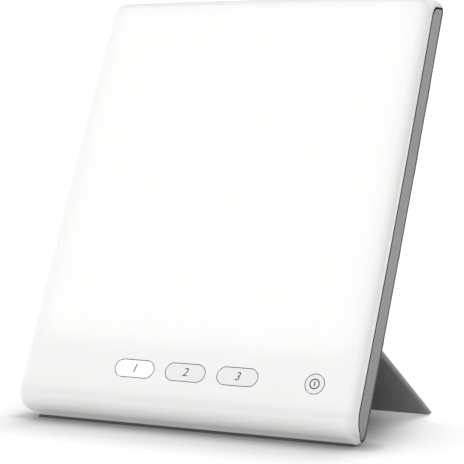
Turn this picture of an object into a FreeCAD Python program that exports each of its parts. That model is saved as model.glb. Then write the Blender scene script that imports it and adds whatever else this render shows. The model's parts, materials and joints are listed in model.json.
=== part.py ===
import FreeCAD, Part
import os
import re

import Sketcher
from FreeCAD import Placement, Rotation, Vector

# Light therapy lamp: a flat light panel that leans back on a fold-out stand.
#
# The panel is drawn upright, in its own frame: X across its width, Y from its
# front face to its back, Z up from its bottom edge. The stand is drawn about its
# hinge axis, with Z towards its free end. Each finished piece is then placed:
# panel pieces lean back by lean_angle, stand pieces swing out until their pads
# meet the floor. The floor is Z = 0, and the origin lies below the middle of the
# lamp's box.

SIZES = {
    # the panel as a whole
    "panel_width": 270,
    "panel_height": 334.4,
    "panel_depth": 32.5,
    "lean_angle": 26.6,
    "side_crown": 0.9,
    "top_crown": 1.2,
    "top_slope": 25.6,
    "edge_radius": 7,
    "corner_radius": 11,
    "bottom_radius": 14.5,
    "back_radius": 2.5,
    "wall": 2.4,
    # the line where the white front shell meets the grey rear housing
    "parting_depth": 11.2,
    "sill_height": 2.0,
    "sill_depth": 3.0,
    "sill_flat": 0.5,
    "lid_height": 9.2,
    "lid_radius": 14,
    "seam_width": 1.0,
    "seam_depth": 0.6,
    # buttons
    "pill_place": -39.35,
    "pill_spacing": 41.3,
    "pill_height": 33.1,
    "pill_length": 32.4,
    "pill_width": 13.8,
    "power_inset": 32.4,
    "power_height": 32.3,
    "power_radius": 7.5,
    "button_gap": 0.45,
    "button_proud": 0.2,
    "button_travel": 0.8,
    "button_edge": 0.4,
    "flange_lip": 1.2,
    "flange_gap": 0.3,
    "flange_thickness": 1.2,
    "stem_radius": 2.2,
    # control board and switches
    "board_depth": 13.0,
    "board_thickness": 1.6,
    "board_below": 14.4,
    "board_above": 15.6,
    "board_left_margin": 32,
    "board_right_margin": 16,
    "board_post_radius": 2.8,
    "board_post_inset": 4.5,
    "switch_size": 6.2,
    "switch_thickness": 3.4,
    "plunger_radius": 1.75,
    "plunger_clearance": 0.08,
    "plunger_proud": 1.2,
    "plunger_engagement": 1.0,
    "mode_led_offset": 9,
    "mode_led_length": 2.0,
    "mode_led_width": 1.25,
    "mode_led_thickness": 0.8,
    # light chamber
    "chamber_side": 16,
    "chamber_bottom": 59,
    "chamber_below_top": 12,
    "chamber_corner": 8,
    "diffuser_gap": 0.2,
    "diffuser_thickness": 2.0,
    "reflector_wall": 2.0,
    "reflector_taper": 14,
    "spreader_depth": 19.5,
    "spreader_thickness": 1.5,
    "spreader_margin": 1.5,
    "led_bar_margin": 15,
    "led_bar_width": 12,
    "led_bar_thickness": 1.0,
    "led_size": 3.5,
    "led_thickness": 0.7,
    # posts that carry the heat spreader
    "spreader_post_radius": 3.0,
    "spreader_post_inset": 10,
    "spreader_post_above": 21,
    "spreader_post_into_bay": 11,
    "spreader_post_below": 14,
    # driver board and its parts
    "driver_depth": 24.0,
    "driver_length": 114,
    "driver_place": -13,
    "driver_below": 15.4,
    "driver_above": 16.6,
    "capacitor_radius": 4,
    "capacitor_length": 8.5,
    "capacitor_place": -44,
    "capacitor_spacing": 11,
    "capacitor_height": 2.6,
    "choke_size": 12,
    "choke_thickness": 6.5,
    "choke_place": 12,
    "chip_length": 6,
    "chip_width": 5,
    "chip_thickness": 1.6,
    "chip_place": -8,
    "connector_length": 14,
    "connector_width": 2.5,
    "connector_inset": 18,
    "connector_below_top": 6,
    # power inlet
    "inlet_inset": 40,
    "inlet_height": 34,
    "inlet_hole_radius": 3.5,
    "inlet_width": 9,
    "inlet_tall": 11,
    "inlet_length": 13,
    "inlet_bore_radius": 2.85,
    "inlet_bore_depth": 9.5,
    "inlet_pin_radius": 1.0,
    "inlet_pin_length": 8,
    "wire_radius": 0.8,
    "wire_spacing": 4,
    "wire_sag": 2.5,
    "led_wire_place": 24,
    # screws
    "screw_radius": 1.45,
    "screw_head_radius": 2.8,
    "screw_head_thickness": 2.0,
    "screw_clearance": 0.15,
    "screw_grip": 0.05,
    "screw_slot_width": 0.7,
    "screw_slot_length": 3.2,
    "screw_slot_depth": 0.9,
    "shell_screw_inset": 9.7,
    "shell_screw_low": 22,
    "shell_screw_above_bay": 15.5,
    "shell_screw_below_top": 16,
    "shell_boss_radius": 3.2,
    "shell_boss_depth": 18,
    "shell_screw_reach": 8,
    "tube_radius": 4.2,
    "counterbore_radius": 3.3,
    "counterbore_depth": 4.8,
    "small_screw_radius": 1.0,
    "small_head_radius": 2.0,
    "small_head_thickness": 1.2,
    "small_screw_length": 4.2,
    # ventilation slots and the bare plate on the back
    "vent_length": 22,
    "vent_width": 3,
    "vent_spacing": 9,
    "upper_vent_count": 12,
    "upper_vent_below_top": 34,
    "lower_vent_count": 6,
    "lower_vent_height": 35,
    "lower_vent_middle": 82,
    "plate_length": 68,
    "plate_width": 32,
    "plate_thickness": 0.5,
    "plate_below_top": 90,
    "plate_clearance": 0.2,
    # stand
    "stand_margin": 2.7,
    "stand_length": 125,
    "stand_thickness": 4.4,
    "stand_clearance": 0.4,
    "stand_edge": 0.5,
    "frame_thickness": 2.3,
    "groove_height": 0.5,
    "groove_inset": 1.2,
    "hinge_height": 69.5,
    "stop_clearance": 0.25,
    "frame_pocket_depth": 1.0,
    "frame_pocket_side": 12,
    "frame_pocket_rib": 6,
    "frame_pocket_start": 15,
    "frame_pocket_end": 21,
    "frame_pocket_corner": 4,
    "stand_screw_side": 6.5,
    "stand_screw_start": 12,
    "stand_screw_end": 19,
    "stand_screw_reach": 1.3,
    "stand_head_thickness": 0.9,
    # hinge
    "lug_inset": 58,
    "lug_width": 8,
    "lug_spacing": 24,
    "lug_clearance": 0.4,
    "rod_radius": 1.25,
    "rod_end_inset": 4,
    "rod_fit": 0.03,
    "rod_running_clearance": 0.08,
    "washer_radius": 2.0,
    "washer_thickness": 0.3,
    # what touches the floor
    "foot_height": 0.6,
    "foot_strip_end": 8,
    "foot_strip_width": 2.6,
    "pad_height": 0.8,
    "pad_place": 62,
    "pad_length": 26,
    "pad_inset": 0.8,
}

# Lengths that follow from the sizes, as expressions in the sheet's names.
HALF_WIDTH = "(panel_width / 2)"
PEAK = "(panel_height + panel_depth * tan(top_slope) + wall)"
BACK_INSIDE = "(panel_depth - wall)"
PARTING_RADIUS = "(panel_depth - sill_depth - parting_depth - sill_flat)"
HINGE_DEPTH = "(panel_depth - stand_thickness / 2)"
BAY_FLOOR = "(panel_depth - stand_thickness - stand_clearance)"
BAY_INSIDE = "(panel_depth - stand_thickness - stand_clearance - wall + 0.2)"
BOARD_BACK = "(board_depth + board_thickness)"
DRIVER_BACK = "(driver_depth + board_thickness)"
SPREADER_BACK = "(spreader_depth + spreader_thickness)"
BAR_FRONT = "(spreader_depth - led_bar_thickness)"
DIFFUSER_FRONT = "(wall + diffuser_gap)"
DIFFUSER_BACK = "(wall + diffuser_gap + diffuser_thickness)"
SWITCH_FRONT = "(board_depth - switch_thickness)"
FLANGE_FRONT = "(wall + flange_gap)"
FLANGE_BACK = "(wall + flange_gap + flange_thickness)"
PLUNGER_FRONT = "(board_depth - switch_thickness - plunger_proud)"
POWER_PLACE = "(panel_width / 2 - power_inset)"
BOARD_LEFT = "(pill_place - board_left_margin)"
BOARD_RIGHT = f"({POWER_PLACE} + board_right_margin)"
BOARD_BOTTOM = "(pill_height - board_below)"
BOARD_TOP = "(pill_height + board_above)"
DRIVER_LEFT = "(driver_place - driver_length / 2)"
DRIVER_RIGHT = "(driver_place + driver_length / 2)"
DRIVER_BOTTOM = "(pill_height - driver_below)"
DRIVER_TOP = "(pill_height + driver_above)"
CONNECTOR_PLACE = f"({DRIVER_LEFT} + connector_inset)"
CHAMBER_HALF_WIDTH = "(panel_width / 2 - chamber_side)"
CHAMBER_TOP = "(panel_height - chamber_below_top)"
LED_BAR_LENGTH = f"(2 * ({CHAMBER_HALF_WIDTH} - led_bar_margin))"
INLET_PLACE = "(inlet_inset - panel_width / 2)"
PLATE_HEIGHT = "(panel_height - plate_below_top)"
STAND_HALF_WIDTH = "(panel_width / 2 - stand_margin)"
LUG_START = f"({STAND_HALF_WIDTH} - lug_inset)"
ROD_END = f"({STAND_HALF_WIDTH} - rod_end_inset)"
SCREW_SEAT = "(panel_depth - counterbore_depth)"
KNUCKLE = "(stand_thickness / 2)"

# Height of the panel's own origin above the floor, and the depth of its middle.
FLOOR_DROP = ("((panel_depth - back_radius) * sin(lean_angle) + back_radius"
              " - back_radius * cos(lean_angle) + foot_height)")
FRONT_REACH = "(bottom_radius * (sin(lean_angle) + cos(lean_angle) - 1))"
BACK_REACH = ("((panel_height + (panel_depth - back_radius) * tan(top_slope)"
              " - back_radius / cos(top_slope)) * sin(lean_angle)"
              " + (panel_depth - back_radius) * cos(lean_angle) + back_radius)")
MIDDLE = f"(({FRONT_REACH} + {BACK_REACH}) / 2)"

# The hinge axis above the floor and behind the origin, and the stand's slope,
# which brings its pads down to the floor.
HINGE_RISE = f"({FLOOR_DROP} + hinge_height * cos(lean_angle) - {HINGE_DEPTH} * sin(lean_angle))"
HINGE_BACK = f"(hinge_height * sin(lean_angle) + {HINGE_DEPTH} * cos(lean_angle) - {MIDDLE})"
STAND_REACH = f"sqrt(stand_length ^ 2 + {KNUCKLE} ^ 2)"
SLOPE = (f"(acos((pad_height - {HINGE_RISE}) / {STAND_REACH}) / 1 deg"
         f" - atan(stand_length / {KNUCKLE}) / 1 deg)")
OVERSWING = f"({SLOPE} - lean_angle)"

# The stand bay runs from the edge that stops the open stand to above its free end.
BAY_BOTTOM = (f"(hinge_height - {KNUCKLE} / cos({OVERSWING}) - {KNUCKLE} * tan({OVERSWING})"
              " - stop_clearance)")
BAY_TOP = "(hinge_height + stand_length + stand_clearance)"
BAY_HALF_WIDTH = f"({STAND_HALF_WIDTH} + stand_clearance)"

MODES = (1, 2, 3)
SIDES = (-1, 1)
LED_BARS = 5
LEDS_PER_BAR = 9
POCKET_COLUMNS = 4
POCKET_ROWS = 2

doc = FreeCAD.newDocument("light_therapy_lamp")
sheet = doc.addObject("Spreadsheet::Sheet", "Sizes")
for row, (size_name, size_value) in enumerate(SIZES.items(), start=1):
    sheet.set(f"A{row}", size_name)
    sheet.set(f"B{row}", str(size_value))
    sheet.setAlias(f"B{row}", size_name)
doc.recompute()

pieces = []


# Binding to the sheet

def in_sheet(text):
    """Write the sheet's name in front of each size in an expression."""
    return re.sub(r"[a-z_]+", lambda word: f"Sizes.{word[0]}" if word[0] in SIZES else word[0], str(text))


def bind(item, name, text):
    """Tie a property of an object to an expression in the sheet's names."""
    item.setExpression(name, in_sheet(text))


def value(text):
    """Work out an expression in the sheet's names as a number."""
    return float(sheet.evalExpression(in_sheet(text)))


def keep(piece, label):
    """Name a finished piece and put it on the list of pieces to write."""
    piece.Label = label
    pieces.append(piece)
    return piece


def on_panel(piece, label):
    """Lean a finished panel piece back and stand it on the floor."""
    piece.Placement = Placement(Vector(), Rotation(Vector(-1, 0, 0), 1))
    bind(piece, "Placement.Base.y", f"-{MIDDLE}")
    bind(piece, "Placement.Base.z", FLOOR_DROP)
    bind(piece, "Placement.Rotation.Angle", "lean_angle")
    return keep(piece, label)


def on_stand(piece, label):
    """Swing a finished stand piece out about the hinge, down to the floor."""
    piece.Placement = Placement(Vector(), Rotation(Vector(-1, 0, 0), 1))
    bind(piece, "Placement.Base.y", HINGE_BACK)
    bind(piece, "Placement.Base.z", HINGE_RISE)
    bind(piece, "Placement.Rotation.Angle", f"90 + {SLOPE}")
    return keep(piece, label)


# Sketches and features of a body

def new_body(name):
    return doc.addObject("PartDesign::Body", name)


def new_sketch(body, plane, height="0"):
    """A sketch on one of the body's own origin planes, moved along its normal."""
    sketch = body.newObject("Sketcher::SketchObject", f"{body.Name}_sketch")
    origin_plane = [item for item in body.Origin.OriginFeatures if item.Role == plane][0]
    sketch.AttachmentSupport = [(origin_plane, "")]
    sketch.MapMode = "FlatFace"
    bind(sketch, "AttachmentOffset.Base.z", height)
    return sketch


def pin(sketch, kind, text, *where):
    """Add a constraint whose value follows an expression."""
    index = sketch.addConstraint(Sketcher.Constraint(kind, *where, value(text)))
    bind(sketch, f"Constraints[{index}]", text)


def pin_point(sketch, x, y, curve, end):
    """Fix a point of the sketch by its distances from the sketch's origin."""
    pin(sketch, "DistanceX", x, -1, 1, curve, end)
    pin(sketch, "DistanceY", y, -1, 1, curve, end)


def polygon(sketch, corners):
    """A closed outline of straight lines through corners given as expressions."""
    spots = [Vector(value(x), value(y), 0) for x, y in corners]
    first = sketch.GeometryCount
    for start, end in zip(spots, spots[1:] + spots[:1]):
        sketch.addGeometry(Part.LineSegment(start, end))
    for number, (x, y) in enumerate(corners):
        following = first + (number + 1) % len(corners)
        sketch.addConstraint(Sketcher.Constraint("Coincident", first + number, 2, following, 1))
        pin_point(sketch, x, y, first + number, 1)


def rectangle(sketch, left, right, low, high):
    polygon(sketch, [(left, low), (right, low), (right, high), (left, high)])


def circle(sketch, x, y, radius):
    centre = Vector(value(x), value(y), 0)
    curve = sketch.addGeometry(Part.Circle(centre, Vector(0, 0, 1), value(radius)))
    pin_point(sketch, x, y, curve, 3)
    pin(sketch, "Radius", radius, curve)


def pill(sketch, x, y, length, width):
    """A slot outline: two half circles joined by straight lines."""
    radius = f"({width}) / 2"
    ends = [f"({x}) - (({length}) - ({width})) / 2", f"({x}) + (({length}) - ({width})) / 2"]
    middle = value(y)
    size = value(radius)
    arcs = []
    for end, start_angle in zip(ends, (90, -90)):
        circle_here = Part.Circle(Vector(value(end), middle, 0), Vector(0, 0, 1), size)
        angles = [FreeCAD.Units.Quantity(f"{turn} deg").getValueAs("rad").Value
                  for turn in (start_angle, start_angle + 180)]
        arcs.append(sketch.addGeometry(Part.ArcOfCircle(circle_here, *angles)))
    left, right = [value(end) for end in ends]
    lower = sketch.addGeometry(Part.LineSegment(Vector(left, middle - size), Vector(right, middle - size)))
    upper = sketch.addGeometry(Part.LineSegment(Vector(right, middle + size), Vector(left, middle + size)))
    chain = [(arcs[0], lower), (lower, arcs[1]), (arcs[1], upper), (upper, arcs[0])]
    for one, other in chain:
        sketch.addConstraint(Sketcher.Constraint("Tangent", one, 2, other, 1))
    pin(sketch, "Radius", radius, arcs[0])
    pin_point(sketch, ends[0], y, arcs[0], 3)
    pin(sketch, "DistanceX", ends[1], -1, 1, arcs[1], 3)


def pad(body, sketch, length, backwards=False, both_ways=False):
    """Grow a sketch into a solid, along its normal or against it."""
    doc.recompute()
    feature = body.newObject("PartDesign::Pad", f"{body.Name}_pad")
    feature.Profile = sketch
    feature.SideType = "Symmetric" if both_ways else "One side"
    feature.Reversed = backwards
    bind(feature, "Length", length)
    doc.recompute()
    return feature


def pocket(body, sketch, depth, backwards=False, both_ways=False, taper=None):
    """Cut a sketch out of a body, and make sure that something was cut."""
    doc.recompute()
    before = body.Shape.Volume
    feature = body.newObject("PartDesign::Pocket", f"{body.Name}_pocket")
    feature.Profile = sketch
    feature.SideType = "Symmetric" if both_ways else "One side"
    feature.Reversed = backwards
    bind(feature, "Length", depth)
    if taper:
        bind(feature, "TaperAngle", taper)
    doc.recompute()
    if feature.Shape.isNull() or feature.Shape.Volume >= before:
        raise RuntimeError(f"{feature.Name} cuts nothing")
    return feature


def repeat(body, feature, axis, length, count):
    """Repeat a feature in equal steps along an axis of the body's origin."""
    pattern = body.newObject("PartDesign::LinearPattern", f"{body.Name}_pattern")
    pattern.Originals = [feature]
    origin_axis = [item for item in body.Origin.OriginFeatures if item.Role == axis][0]
    pattern.Direction = (origin_axis, [""])
    bind(pattern, "Length", length)
    pattern.Occurrences = count
    body.Tip = pattern
    doc.recompute()
    return pattern


def fillet(body, choose, radius):
    """Round the edges of the body's last feature that a test picks."""
    feature = body.Tip
    names = [f"Edge{number}" for number, edge in enumerate(feature.Shape.Edges, start=1) if choose(edge)]
    rounding = body.newObject("PartDesign::Fillet", f"{body.Name}_fillet")
    rounding.Base = (feature, names)
    bind(rounding, "Radius", radius)
    doc.recompute()
    return rounding


def along(edge, direction):
    """True for a straight edge that runs along a direction."""
    if not isinstance(edge.Curve, Part.Line):
        return False
    return abs(edge.Curve.Direction.dot(direction)) > 0.999


def lies_at(edge, axis, place, reach=0.01):
    """True for an edge whose whole box lies at one place on an axis."""
    box = edge.BoundBox
    low, high = {"x": (box.XMin, box.XMax), "y": (box.YMin, box.YMax), "z": (box.ZMin, box.ZMax)}[axis]
    return abs(low - place) < reach and abs(high - place) < reach


# Part primitives and booleans

def block(name, x, y, z):
    """A box between the pairs of places given for each axis."""
    box = doc.addObject("Part::Box", name)
    for axis, side, (low, high) in zip("xyz", ("Length", "Width", "Height"), (x, y, z)):
        bind(box, f"Placement.Base.{axis}", low)
        bind(box, side, f"({high}) - ({low})")
    return box


def cylinder(name, axis, place, start, end, radius):
    """A cylinder along X or Y; place holds its other two coordinates."""
    rod = doc.addObject("Part::Cylinder", name)
    turned = {"x": Rotation(Vector(0, 1, 0), 90), "y": Rotation(Vector(1, 0, 0), -90)}[axis]
    rod.Placement = Placement(Vector(), turned)
    across = {"x": "yz", "y": "xz"}[axis]
    bind(rod, f"Placement.Base.{axis}", start)
    for letter, text in zip(across, place):
        bind(rod, f"Placement.Base.{letter}", text)
    bind(rod, "Height", f"({end}) - ({start})")
    bind(rod, "Radius", radius)
    return rod


def join(name, parts):
    fused = doc.addObject("Part::MultiFuse", name)
    fused.Shapes = parts
    fused.Refine = True
    return fused


def cut(name, base, tool):
    difference = doc.addObject("Part::Cut", name)
    difference.Base = base
    difference.Tool = tool
    return difference


def common(name, base, tool):
    overlap = doc.addObject("Part::Common", name)
    overlap.Base = base
    overlap.Tool = tool
    return overlap


def group(name, parts):
    """Several separate solids held in one object."""
    together = doc.addObject("Part::Compound", name)
    together.Links = parts
    return together


# Shapes that the two shells share

def cut_roof(body, inset):
    """Cut the top along a shallow arch that rises towards the back, level when the panel leans."""
    sketch = new_sketch(body, "XZ_Plane")
    sketch.AttachmentOffset = Placement(Vector(0, 1, 0), Rotation(Vector(1, 0, 0), 1))
    bind(sketch, "AttachmentOffset.Base.y", "panel_height")
    bind(sketch, "AttachmentOffset.Rotation.Angle", "top_slope")
    arch = f"((({HALF_WIDTH} - side_crown) ^ 2 + top_crown ^ 2) / (2 * top_crown))"
    radius = f"({arch} - ({inset}))"
    side = f"({HALF_WIDTH} + wall)"
    eaves = f"(sqrt({radius} ^ 2 - {side} ^ 2) - {arch})"
    above = "panel_depth"
    spots = [(side, eaves), (side, above), (f"-{side}", above), (f"-{side}", eaves)]
    points = [Vector(value(x), value(y)) for x, y in spots]
    crown = sketch.addGeometry(Part.ArcOfCircle(points[3], Vector(0, value(f"-({inset})")), points[0]))
    curves = [crown] + [sketch.addGeometry(Part.LineSegment(one, other))
                        for one, other in zip(points, points[1:])]
    ends = [(crown, 1, curves[1], 1), (curves[1], 2, curves[2], 1), (curves[2], 2, curves[3], 1),
            (curves[3], 2, crown, 2)]
    for link in ends:
        sketch.addConstraint(Sketcher.Constraint("Coincident", *link))
    for (x, y), curve in zip(spots, (curves[1], curves[2], curves[3])):
        pin_point(sketch, x, y, curve, 1)
    pin_point(sketch, *spots[3], curves[3], 2)
    pin(sketch, "Radius", radius, crown)
    pocket(body, sketch, "4 * panel_depth", both_ways=True)


def envelope(name, inset):
    """The pillow shape of the whole panel, made smaller all round by an inset."""
    body = new_body(name)
    sketch = new_sketch(body, "XZ_Plane", f"-({inset})")
    half = f"({HALF_WIDTH} - ({inset}))"
    low = inset
    middle = "(panel_height / 2)"
    side_radius = f"((({middle} - ({inset})) ^ 2 + side_crown ^ 2) / (2 * side_crown))"
    corner = f"({half} - side_crown)"
    spread = f"({half} - {side_radius} + sqrt({side_radius} ^ 2 - ({PEAK} - {middle}) ^ 2))"
    right = [Vector(value(corner), value(low)), Vector(value(half), value(middle)),
             Vector(value(spread), value(PEAK))]
    left = [Vector(-spot.x, spot.y) for spot in reversed(right)]
    bottom = sketch.addGeometry(Part.LineSegment(left[2], right[0]))
    right_side = sketch.addGeometry(Part.ArcOfCircle(*right))
    top = sketch.addGeometry(Part.LineSegment(right[2], left[0]))
    left_side = sketch.addGeometry(Part.ArcOfCircle(*left))
    loop = [(bottom, right_side), (right_side, top), (top, left_side), (left_side, bottom)]
    for one, other in loop:
        sketch.addConstraint(Sketcher.Constraint("Coincident", one, 2, other, 1))
    pin_point(sketch, f"-{corner}", low, bottom, 1)
    pin_point(sketch, corner, low, right_side, 1)
    pin_point(sketch, spread, PEAK, top, 1)
    pin_point(sketch, f"-{spread}", PEAK, left_side, 1)
    pin(sketch, "Radius", side_radius, right_side)
    pin(sketch, "Radius", side_radius, left_side)
    pad(body, sketch, f"panel_depth - 2 * ({inset})", backwards=True)
    cut_roof(body, inset)

    front = value(inset)
    floor = value(low)
    fillet(body, lambda edge: along(edge, Vector(1, 0, 0)) and lies_at(edge, "y", front)
           and lies_at(edge, "z", floor), f"bottom_radius - ({inset})")
    upper = value(middle)
    deep = value("panel_depth / 2")
    fillet(body, lambda edge: edge.BoundBox.YLength > deep and edge.BoundBox.ZMin > upper,
           f"corner_radius - ({inset})")
    back = value(f"panel_depth - ({inset})")
    rounding_top = value("bottom_radius + 1")

    def at_rim(edge):
        """An edge round the front face, or where the rounded bottom and the bottom meet a side."""
        if lies_at(edge, "y", back):
            return False
        if along(edge, Vector(1, 0, 0)):
            return False
        return lies_at(edge, "y", front) or edge.BoundBox.ZMax < rounding_top
    fillet(body, at_rim, f"edge_radius - ({inset})")
    return body


def round_back(body):
    """Round the edge of the panel's back face."""
    back = value("panel_depth")
    fillet(body, lambda edge: lies_at(edge, "y", back), "back_radius")


def front_zone(name, grow):
    """Everything in front of the parting line, which turns back under the bottom and over the top."""
    body = new_body(name)
    sketch = new_sketch(body, "YZ_Plane")
    sill = "(panel_depth - sill_depth)"
    parting = f"(parting_depth + {grow})"
    ledge = f"(sill_height + {grow})"
    lid, lid_end = [f"(panel_height + {depth} * tan(top_slope) - lid_height - {grow})"
                    for depth in (parting, sill)]
    polygon(sketch, [("-wall", "-wall"), (sill, "-wall"), (sill, ledge), (parting, ledge),
                     (parting, lid), (sill, lid_end), (sill, PEAK), ("-wall", PEAK)])
    pad(body, sketch, "panel_width + 2 * wall", both_ways=True)
    depth = value(parting)
    for corner, radius in ((ledge, PARTING_RADIUS), (lid, "lid_radius")):
        height = value(corner)
        fillet(body, lambda edge: along(edge, Vector(1, 0, 0)) and lies_at(edge, "y", depth)
               and lies_at(edge, "z", height), f"{radius} - {grow}")
    return body


def seam_groove(zone):
    """A shallow groove in the outside of the rear housing, just behind the front shell."""
    ring = cut("seam_ring", front_zone("seam_zone", "seam_width"), zone)
    return cut("seam_groove", ring, envelope("seam_core", "seam_depth"))


def shell_screw_places():
    """Where the screws that hold the two shells together stand, as X and Z."""
    heights = ("shell_screw_low", f"({BAY_TOP} + shell_screw_above_bay)",
               "(panel_height - shell_screw_below_top)")
    return [(f"({side} * (panel_width / 2 - shell_screw_inset))", height)
            for side in SIDES for height in heights]


def board_post_places():
    """The four posts that carry the control board, as X and Z."""
    xs = (f"({BOARD_LEFT} + board_post_inset)", f"({BOARD_RIGHT} - board_post_inset)")
    zs = (f"({BOARD_BOTTOM} + board_post_inset)", f"({BOARD_TOP} - board_post_inset)")
    return [(x, z) for x in xs for z in zs]


def driver_post_places():
    """The four posts that carry the driver board, as X and Z."""
    xs = (f"({DRIVER_LEFT} + board_post_inset)", f"({DRIVER_RIGHT} - board_post_inset)")
    zs = (f"({DRIVER_BOTTOM} + board_post_inset)", f"({DRIVER_TOP} - board_post_inset)")
    return [(x, z) for x in xs for z in zs]


def spreader_post_places():
    """The posts that carry the heat spreader, as X, Z and the depth of what they stand on."""
    low = "(chamber_bottom + spreader_post_above)"
    high = f"({CHAMBER_TOP} - spreader_post_below)"
    middle = f"({BAY_TOP} - spreader_post_into_bay)"
    rows = ((low, BAY_INSIDE), (middle, BAY_INSIDE), (high, BACK_INSIDE))
    return [(f"({side} * ({CHAMBER_HALF_WIDTH} - spreader_post_inset))", height, foot)
            for side in SIDES for height, foot in rows]


def button_places():
    """The label, centre and outline of each button's opening in the front shell."""
    places = []
    for mode in MODES:
        x = f"(pill_place + {mode - 1} * pill_spacing)"
        places.append((f"mode_{mode}", x, "pill_height", "pill_length", "pill_width"))
    places.append(("power", POWER_PLACE, "power_height", None, "2 * power_radius"))
    return places


def button_outline(sketch, x, z, length, width, grow):
    """A pill or, where there is no length, a circle, grown all round."""
    if length:
        pill(sketch, x, z, f"{length} + 2 * ({grow})", f"{width} + 2 * ({grow})")
    else:
        circle(sketch, x, z, f"({width}) / 2 + ({grow})")


# The panel's shells

def make_front_shell(outer, cavity, zone):
    skin = cut("front_skin", common("front_part", outer, zone), cavity)
    openings = new_body("button_openings")
    for label, x, z, length, width in button_places():
        sketch = new_sketch(openings, "XZ_Plane", "wall")
        button_outline(sketch, x, z, length, width, "0")
        pad(openings, sketch, "3 * wall", backwards=True)
    bosses = []
    holes = []
    for x, z in shell_screw_places():
        bosses.append(cylinder("shell_boss", "y", (x, z), "wall / 2", "shell_boss_depth",
                               "shell_boss_radius"))
        holes.append(cylinder("shell_pilot", "y", (x, z), "shell_boss_depth - shell_screw_reach - 1",
                              "shell_boss_depth + 1", "screw_radius + screw_grip"))
    for x, z in board_post_places():
        bosses.append(cylinder("board_post", "y", (x, z), "wall / 2", "board_depth", "board_post_radius"))
        holes.append(cylinder("board_pilot", "y", (x, z), "board_depth - small_screw_length",
                              "board_depth + 1", "small_screw_radius + screw_grip"))
    opened = cut("opened_skin", skin, openings)
    whole = join("front_with_bosses", [opened] + bosses)
    return on_panel(cut("front_shell_solid", whole, group("front_holes", holes)), "front_shell")


def vent_slots():
    """Two rows of upright slots in the back wall, one high up and one low down."""
    slots = []
    rows = (("upper_vent_count", "0", "(panel_height - upper_vent_below_top)"),
            ("lower_vent_count", "lower_vent_middle", "lower_vent_height"))
    for count, middle, height in rows:
        for number in range(round(value(count))):
            x = f"({middle} + ({number} - ({count} - 1) / 2) * vent_spacing)"
            straight = "(vent_length - vent_width) / 2"
            slots.append(block("vent_slot", (f"{x} - vent_width / 2", f"{x} + vent_width / 2"),
                               (f"{BACK_INSIDE} - 1", "panel_depth + 1"),
                               (f"{height} - {straight}", f"{height} + {straight}")))
            for end in SIDES:
                slots.append(cylinder("vent_end", "y", (x, f"{height} + {end} * {straight}"),
                                      f"{BACK_INSIDE} - 1", "panel_depth + 1", "vent_width / 2"))
    return slots


def lug_spans():
    """Start and end along X of each hinge lug."""
    spans = []
    for number in range(2):
        start = f"({LUG_START} + {number} * lug_spacing)"
        spans.append((start, f"({start} + lug_width)"))
        spans.append((f"-({start} + lug_width)", f"-{start}"))
    return spans


def make_rear_housing(outer, cavity, zone):
    tray = cut("grooved_part", cut("rear_part", outer, zone), seam_groove(zone))
    bay_wall = block("bay_wall", (f"-{HALF_WIDTH}", HALF_WIDTH), (BAY_INSIDE, "panel_depth + 1"),
                     (f"{BAY_BOTTOM} - wall", f"{BAY_TOP} + wall"))
    hollowed = cut("hollowed_tray", tray, cut("rear_hollow", cavity, bay_wall))
    bay = block("stand_bay", (f"-{BAY_HALF_WIDTH}", BAY_HALF_WIDTH), (BAY_FLOOR, "panel_depth + 1"),
                (BAY_BOTTOM, BAY_TOP))
    with_bay = cut("tray_with_bay", hollowed, bay)

    additions = []
    holes = vent_slots()
    for start, end in lug_spans():
        additions.append(cylinder("hinge_lug", "x", (HINGE_DEPTH, "hinge_height"), start, end, KNUCKLE))
        additions.append(block("lug_web", (start, end), (f"{BAY_FLOOR} - wall / 4", HINGE_DEPTH),
                               (f"hinge_height - {KNUCKLE}", f"hinge_height + {KNUCKLE}")))
        holes.append(cylinder("lug_bore", "x", (HINGE_DEPTH, "hinge_height"), f"{start} - 0.1",
                              f"{end} + 0.1", "rod_radius + rod_fit"))
    for x, z in shell_screw_places():
        additions.append(cylinder("screw_tube", "y", (x, z), "shell_boss_depth", f"{BACK_INSIDE} + wall / 4",
                                  "tube_radius"))
        holes.append(cylinder("screw_way", "y", (x, z), "shell_boss_depth - 1", "panel_depth",
                              "screw_radius + screw_clearance"))
        holes.append(cylinder("counterbore", "y", (x, z), SCREW_SEAT, "panel_depth + 1",
                              "counterbore_radius"))
    for x, z in driver_post_places():
        additions.append(cylinder("driver_post", "y", (x, z), DRIVER_BACK, f"{BACK_INSIDE} + wall / 4",
                                  "board_post_radius"))
        holes.append(cylinder("driver_pilot", "y", (x, z), f"{DRIVER_BACK} - 1",
                              f"{DRIVER_BACK} + small_screw_length - board_thickness",
                              "small_screw_radius + screw_grip"))
    for x, z, foot in spreader_post_places():
        additions.append(cylinder("spreader_post", "y", (x, z), SPREADER_BACK, f"{foot} + wall / 4",
                                  "spreader_post_radius"))
        holes.append(cylinder("spreader_pilot", "y", (x, z), f"{SPREADER_BACK} - 1",
                              f"{SPREADER_BACK} + small_screw_length - spreader_thickness",
                              "small_screw_radius + screw_grip"))
    holes.append(cylinder("inlet_hole", "y", (INLET_PLACE, "inlet_height"), f"{BACK_INSIDE} - 1",
                          "panel_depth + 1", "inlet_hole_radius"))
    holes.append(block("plate_recess",
                       ("-plate_length / 2 - plate_clearance", "plate_length / 2 + plate_clearance"),
                       ("panel_depth - plate_thickness", "panel_depth + 1"),
                       (f"{PLATE_HEIGHT} - plate_width / 2 - plate_clearance",
                        f"{PLATE_HEIGHT} + plate_width / 2 + plate_clearance")))
    whole = join("tray_with_bosses", [with_bay] + additions)
    return on_panel(cut("rear_housing_solid", whole, group("rear_holes", holes)), "rear_housing")


# The light engine

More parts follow.
